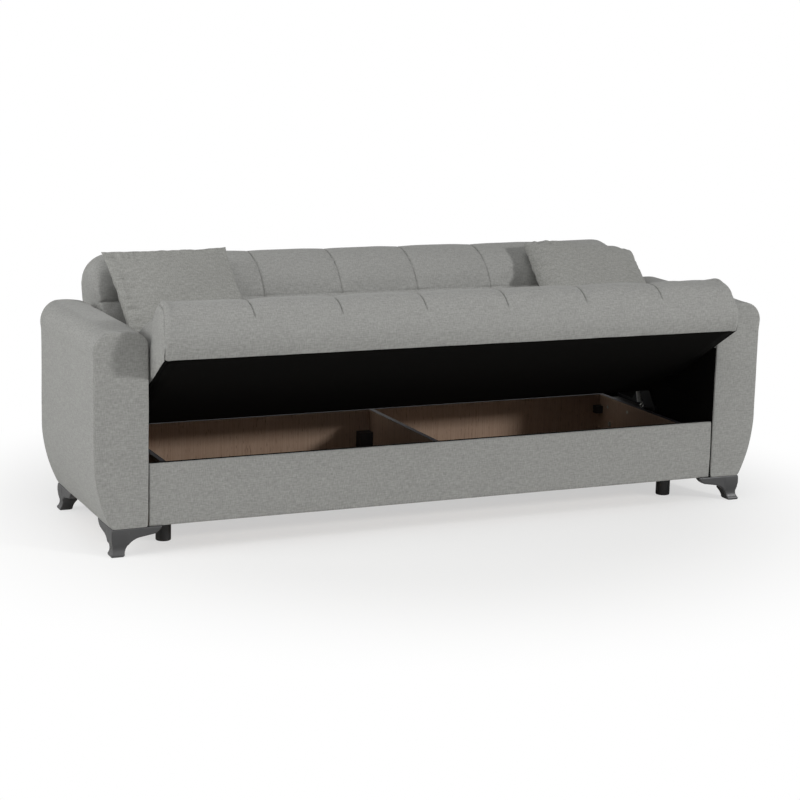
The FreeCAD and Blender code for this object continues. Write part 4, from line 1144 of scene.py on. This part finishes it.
@dataclass
class FrontPanel:
    """The box's covered front: a thin pad on the board, and a black strip laid over the board's top edge."""

    crown: float = 2.5
    nose: float = 3.0
    end_round: float = 4.0
    end_inset: float = 2.2
    strip: float = 0.8
    hem: float = 14.0
    steps: tuple[int, int] = (4, 36)

    def section(self) -> Section:
        """The pad's outline: depth and height."""
        low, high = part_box("front_panel_cover")
        front, base, top = low.y / MM, low.z / MM, high.z / MM
        rear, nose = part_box("front_panel")[0].y / MM + 0.2, self.nose
        sole = [(rear, base), (front + nose, base)]
        face = [sole[-1]]
        face += arc(face[-1], (front + nose * 0.3, base + nose * 0.3), (front, base + nose), 5)
        face += arc(face[-1], (front - self.crown, (base + top) / 2), (front, top - nose))
        face += arc(face[-1], (front + nose * 0.3, top - nose * 0.3), (front + nose, top), 5)
        wide, high_steps = self.steps
        sides = [sole, face, [face[-1], (rear, top)], [(rear, top), sole[0]]]
        return Section(sides, [even(wide), even(high_steps)] * 2)

    def build(self, cloth: Material, lining: Material) -> None:
        """Makes the pad over its node, and the strip."""
        section = self.section()
        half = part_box("front_panel_cover")[1].x / MM - self.end_inset
        near = np.array([0.0, 0.5, 1.2, 2.2, 3.6, 5.5, 8.0, 12.0, 18.0, 28.0])
        stations = np.concatenate([near - half, np.linspace(-half + 45.0, half - 45.0, 70), half - near[::-1]])
        inset = rounded(half - np.abs(stations)[:, None], self.end_round * np.ones((1, 1)))
        wide, high = self.steps
        index = np.arange(len(section.points))
        on_face = (index >= wide) & (index <= wide + high)
        points = section.drawn_in(inset * on_face[None])
        x = np.broadcast_to(stations[:, None], points.shape[:2])
        rings = np.stack([x, points[..., 0], points[..., 1]], axis=-1) * MM
        pad = Shell(section, rings, LENGTHWAYS).build("front_panel_pad")
        ripple(pad, 0.5 * MM, 0.15, 21.0)
        subdivide(pad)
        finish_soft(pad, "base", cloth, 0.9, "front_panel_cover")
        low, high_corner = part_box("front_panel")
        front, rear, top = low.y / MM - 0.5, high_corner.y / MM + self.strip, high_corner.z / MM + self.strip
        line = [(front, top), (rear - 1.0, top), (rear, top - 1.0), (rear, top - self.hem)]
        across = np.linspace(-half, half, 40)
        grid = np.array([[(x, y, z) for x in across] for y, z in line]) * MM
        piece = sheet_of("front_panel_edging", grid, lining, "base")


def sheet_of(
    name: str, grid: np.ndarray, lining: Material, body: str, keep: np.ndarray | None = None
) -> Piece:
    """Makes a thin sheet of lining from a grid of points.

    Args:
        name: The object's name.
        grid: Rows and columns of points.
        lining: Its finish.
        body: The body that it rides on.
        keep: Which cells are cloth, where some are cut away.

    Returns:
        The object.
    """
    rows, columns = grid.shape[:2]
    faces = [
        (row * columns + at, row * columns + at + 1, (row + 1) * columns + at + 1, (row + 1) * columns + at)
        for row in range(rows - 1)
        for at in range(columns - 1)
        if keep is None or keep[row, at]
    ]
    piece = mesh_piece(name, grid.reshape(-1, 3), faces)
    with editing(piece.data) as work:
        bmesh.ops.delete(work, geom=[point for point in work.verts if not point.link_faces], context="VERTS")
    modify(piece, "SOLIDIFY", thickness=LINING_MM * MM, offset=0.0)
    apply_modifiers(piece)
    turn_outwards(piece.data)
    dress(piece, lining)
    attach(piece, body)
    LOG.info("%s: %d faces", name, len(piece.data.polygons))
    return piece


def underside(lining: Material) -> None:
    """Closes the seat from below with black lining, stapled to the frame and slack by a few millimetres."""
    half, cut_x, cut_depth, front, rear = 925.0, NOTCH_MM[0], -NOTCH_MM[1], -513.0, -12.0
    across = np.concatenate([[-half], np.linspace(-cut_x, cut_x, 85), [half]])
    depths = np.concatenate([np.linspace(front, cut_depth, 20), np.linspace(cut_depth, rear, 7)[1:]])
    x, depth = np.meshgrid(across, depths)
    share = (depth - front) / (rear - front)
    slack = 4 * share * (1 - share) * (1 - (x / half) ** 2) * smooth_step(share, 0.05, 0.25)
    folds = np.array([[noise.noise(Vector((a / 260.0, b / 90.0, 3.0))) for a in across] for b in depths])
    grid = leaning(x, depth, -SeatCushion.thick - 0.9 - 2.6 * slack - 0.9 * folds * slack)
    cut = (np.abs(x[:-1, :-1] + x[1:, 1:]) / 2 > cut_x) & ((depth[:-1, :-1] + depth[1:, 1:]) / 2 > cut_depth)
    piece = sheet_of("seat_underside_lining", grid, lining, "seat", ~cut)
    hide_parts("seat_underside_cloth")


def lift_spring(side: str, wire: Material) -> None:
    """Puts a copy of a lift spring, welded and thinned to fewer triangles, in the place of its node, in spring
    wire.
    """
    node = side + "_lift_spring"
    piece = new_piece(side + "_stretched_spring", frame["nodes"][node].data.copy())
    with editing(piece.data) as work:
        bmesh.ops.remove_doubles(work, verts=work.verts, dist=0.01 * MM)
    modify(piece, "DECIMATE", ratio=SPRING_SHARE)
    apply_modifiers(piece)
    turn_outwards(piece.data)
    piece.data.materials.clear()
    dress(piece, wire)
    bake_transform(piece)
    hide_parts(node)


def smooth_foot(node: str) -> None:
    """Softens a moulded foot's edges, with modifiers that leave its mesh as it is."""
    piece = frame["nodes"][node]
    modify(piece, "WELD", merge_threshold=0.05 * MM)
    modify(piece, "REMESH", mode="VOXEL", voxel_size=1.8 * MM, use_smooth_shade=True)
    modify(piece, "SMOOTH", factor=0.5, iterations=8)


def rear_cloth(side: str, lining: Material) -> None:
    """Closes the gap behind a mechanism, between the box and the arm, with a stapled lining."""
    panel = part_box("rear_panel")
    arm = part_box(side + "_arm_lining")
    way = WAYS[side]
    inner, outer = panel[1].x - 2 * MM, max(abs(arm[0].x), abs(arm[1].x)) + 8 * MM
    low, high, y, thick = 0.1, panel[1].z + 7 * MM, panel[1].y - 3 * MM, 1.2 * MM
    bpy.ops.mesh.primitive_cube_add(size=1.0)
    piece = bpy.context.object
    piece.name = side + "_rear_cloth"
    for vertex in piece.data.vertices:
        vertex.co = (
            way * (inner if vertex.co.x < 0 else outer),
            y + (thick if vertex.co.y > 0 else 0.0),
            low if vertex.co.z < 0 else high,
        )
    turn_outwards(piece.data)
    dress(piece, lining)
    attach(piece, "base")


def soften_edges(node: str, width: float) -> None:
    """Rounds a hard node's edges a little, with modifiers that leave its mesh as it is."""
    piece = frame["nodes"][node]
    modify(piece, "WELD", merge_threshold=0.05 * MM)
    modify(piece, "BEVEL", width=width, segments=3, limit_method="ANGLE", angle_limit=math.radians(40),
           use_clamp_overlap=True)


@dataclass
class Studio:
    """Pale floor, soft lamps and the camera."""

    distance: float = 5.0
    position_mm: tuple[float, float, float] = (-2586.4, -5301.6, 1581.5)    # y from the arms' fronts
    yaw: float = -24.530
    pitch: float = 11.405
    roll: float = 1.436
    lens: float = 89.463

    def build(self) -> None:
        """Sets the stage up."""
        scene = bpy.context.scene
        scene.view_settings.view_transform = "Standard"
        self.floor()
        self.world(scene)
        self.lamp("key", (0.585, -0.722, 0.335), 11.0, 1.2, 540.0)
        self.lamp("left_fill", (-0.95, 0.0, 0.35), 6.0, 2.4, 128.0)
        self.lamp("left_top", (-0.75, -0.25, 0.9), 6.0, 2.4, 52.0)
        self.lamp("over", (-0.15, -0.45, 0.85), 5.0, 3.0, 60.0)
        self.camera(scene)

    def floor(self) -> None:
        """A pale floor that reads white to the camera away from the sofa's shadow."""
        bpy.ops.mesh.primitive_plane_add(size=60.0, location=(0, 0, -0.0005))
        floor = bpy.context.object
        floor.name = "floor"
        material, tree, shader = new_material("pale_floor")
        connect(tree, shader, {"Base Color": linear("#f2f2f0"), "Roughness": 0.8})
        place = add_node(tree, "ShaderNodeTexCoord").outputs["Object"]
        away = add_node(tree, "ShaderNodeVectorMath", {0: place}, operation="LENGTH").outputs["Value"]
        reach = {0: away, 1: 0.8, 2: 1.7, 3: 0.55, 4: 1.0}      # metres, and shares of white
        far = add_node(tree, RANGE, reach, interpolation_type="SMOOTHSTEP")
        seen = add_node(tree, "ShaderNodeLightPath").outputs["Is Camera Ray"]
        share = add_node(tree, MATH, {0: far.outputs[0], 1: seen}, operation="MULTIPLY").outputs[0]
        white = add_node(tree, "ShaderNodeEmission", {1: 1.0})
        both = add_node(tree, "ShaderNodeMixShader", {0: share, 1: shader.outputs[0], 2: white.outputs[0]})
        output = next(node for node in tree.nodes if node.type == "OUTPUT_MATERIAL")
        tree.links.new(both.outputs[0], output.inputs["Surface"])
        dress(floor, material)

    def world(self, scene: bpy.types.Scene) -> None:
        """Even pale surroundings, white to the camera and in reflections."""
        world = bpy.data.worlds.new("studio")
        scene.world = world
        world.use_nodes = True
        tree = world.node_tree
        tree.nodes.clear()
        path = add_node(tree, "ShaderNodeLightPath").outputs
        seen = path["Is Camera Ray"]
        for ray in ("Is Glossy Ray", "Is Transmission Ray"):
            seen = add_node(tree, MATH, {0: seen, 1: path[ray]}, operation="MAXIMUM").outputs[0]
        dim = add_node(tree, "ShaderNodeBackground", {1: 0.12})
        bright = add_node(tree, "ShaderNodeBackground", {0: (1.0, 1.0, 1.0, 1.0), 1: 1.0})
        both = add_node(tree, "ShaderNodeMixShader", {0: seen, 1: dim.outputs[0], 2: bright.outputs[0]})
        add_node(tree, "ShaderNodeOutputWorld", {0: both.outputs[0]})

    def lamp(
        self, name: str, way: tuple[float, float, float], distance: float, size: float, power: float
    ) -> None:
        """A square lamp that looks at the sofa from a direction."""
        data = bpy.data.lights.new(name, "AREA")
        data.size = size
        data.energy = power
        lamp = new_piece(name, data)
        target = Vector((0.0, 0.0, 0.35))
        place = Vector(way).normalized() * distance
        lamp.location = target + place
        lamp.rotation_euler = place.to_track_quat("Z", "Y").to_euler()

    def camera(self, scene: bpy.types.Scene) -> None:
        """The photograph's camera."""
        data = bpy.data.cameras.new("camera")
        data.lens = self.lens
        data.sensor_width = 36.0
        camera = new_piece("camera", data)
        x, y, z = (value * MM for value in self.position_mm)
        camera.location = (x, y + ARM_FRONT_Y, z)
        turn = Matrix.Rotation(math.radians(self.yaw), 4, "Z")
        nod = Matrix.Rotation(math.radians(90 - self.pitch), 4, "X")
        roll = Matrix.Rotation(math.radians(self.roll), 4, "Z")
        camera.matrix_world = Matrix.Translation(camera.location) @ turn @ nod @ roll
        scene.camera = camera


def main() -> None:
    """Builds every piece in order."""
    logging.basicConfig(level=logging.INFO, format="%(name)s: %(message)s")
    cloth = WovenPolyester().build()
    pillow_cloth = WovenPolyester(name="pillow_polyester", dark="#80807c", light="#a6a6a2").build()
    lining = SpunLining().build()
    board = GrainedBoard("melamine_chipboard", "#a58d79", "#957c69", "#75604f").build()
    band = GrainedBoard("abs_edge_band", "#39363a", "#333034", "#2c292d", roughness=0.6, specular=0.15).build()
    lengthwise = (6.0, 160.0, 160.0)
    # The mechanism blocks' timber is drawn near black: painted shade for the deep shade under the raised seat.
    shade_dark_timber = GrainedBoard(
        "timber_darkened_as_shade", "#181412", "#120f0d", "#0b0908", lengthwise, specular=0.1
    ).build()
    timber = GrainedBoard("planed_spruce", "#c9a878", "#b8945f", "#8d6a3e", lengthwise).build()
    foot = MouldedPlastic("moulded_abs_charcoal", "#3f3f40", 0.42).build()
    black = MouldedPlastic("moulded_pp_black", "#1b1b1c", 0.5).build()
    coat = Steel("powder_coated_steel", "#0e0e0f", 0.6, metallic=0.0, specular=0.12).build()
    zinc = Steel("zinc_plated_steel", "#b9b9b4", 0.38).build()
    wire = Steel("drawn_spring_wire", "#8f8f8c", 0.35).build()
    finishes = {
        Slot.CLOTH: cloth, Slot.LINING: lining, Slot.BOARD: board, Slot.BAND: band, Slot.TIMBER: timber,
        Slot.FOOT: foot, Slot.LEG: black, Slot.BLACK_STEEL: coat, Slot.ZINC: zinc, Slot.SPRING: wire,
    }
    for part in frame["record"]["subparts"]:
        dress(frame["nodes"][part["node"]], finishes[Slot(part["material_slot"])])
    for nodes, finish in (
        (("front_panel", "rear_panel", "left_side_panel", "right_side_panel", "divider", "box_floor"), board),
        (("edge_bands",), band), (("front_bearer", "rear_bearer"), timber), (("corner_blocks",), black),
    ):
        for node in nodes:
            dress(frame["nodes"][node], finish)
    FrontPanel().build(cloth, lining)
    underside(lining)
    for side in ("left", "right"):
        dress(frame["nodes"][side + "_mechanism_block"], shade_dark_timber)
        rear_cloth(side, lining)
    SeatCushion().build(cloth, lining)
    BackCushion().build(cloth)
    Pillow("left").build(pillow_cloth)
    Pillow(
        "right", thick=104.0, draw=-0.01, middle_mm=(744.0, 114.0, 656.0), lean=18.0, turn=4.6, roll=3.0,
        seed=6.0, puckers=5.0, arch=17.0, slant=0.9, profile=0.42,
    ).build(pillow_cloth)
    for side in ("left", "right"):
        Arm(side).build(cloth, lining)
        lift_spring(side, wire)
        for end in ("front", "rear"):
            smooth_foot(f"{side}_{end}_foot")
    for node in ("front_panel", "rear_panel", "left_side_panel", "right_side_panel", "divider"):
        soften_edges(node, 0.6 * MM)
    Studio().build()


if __name__ == "__main__":
    main()
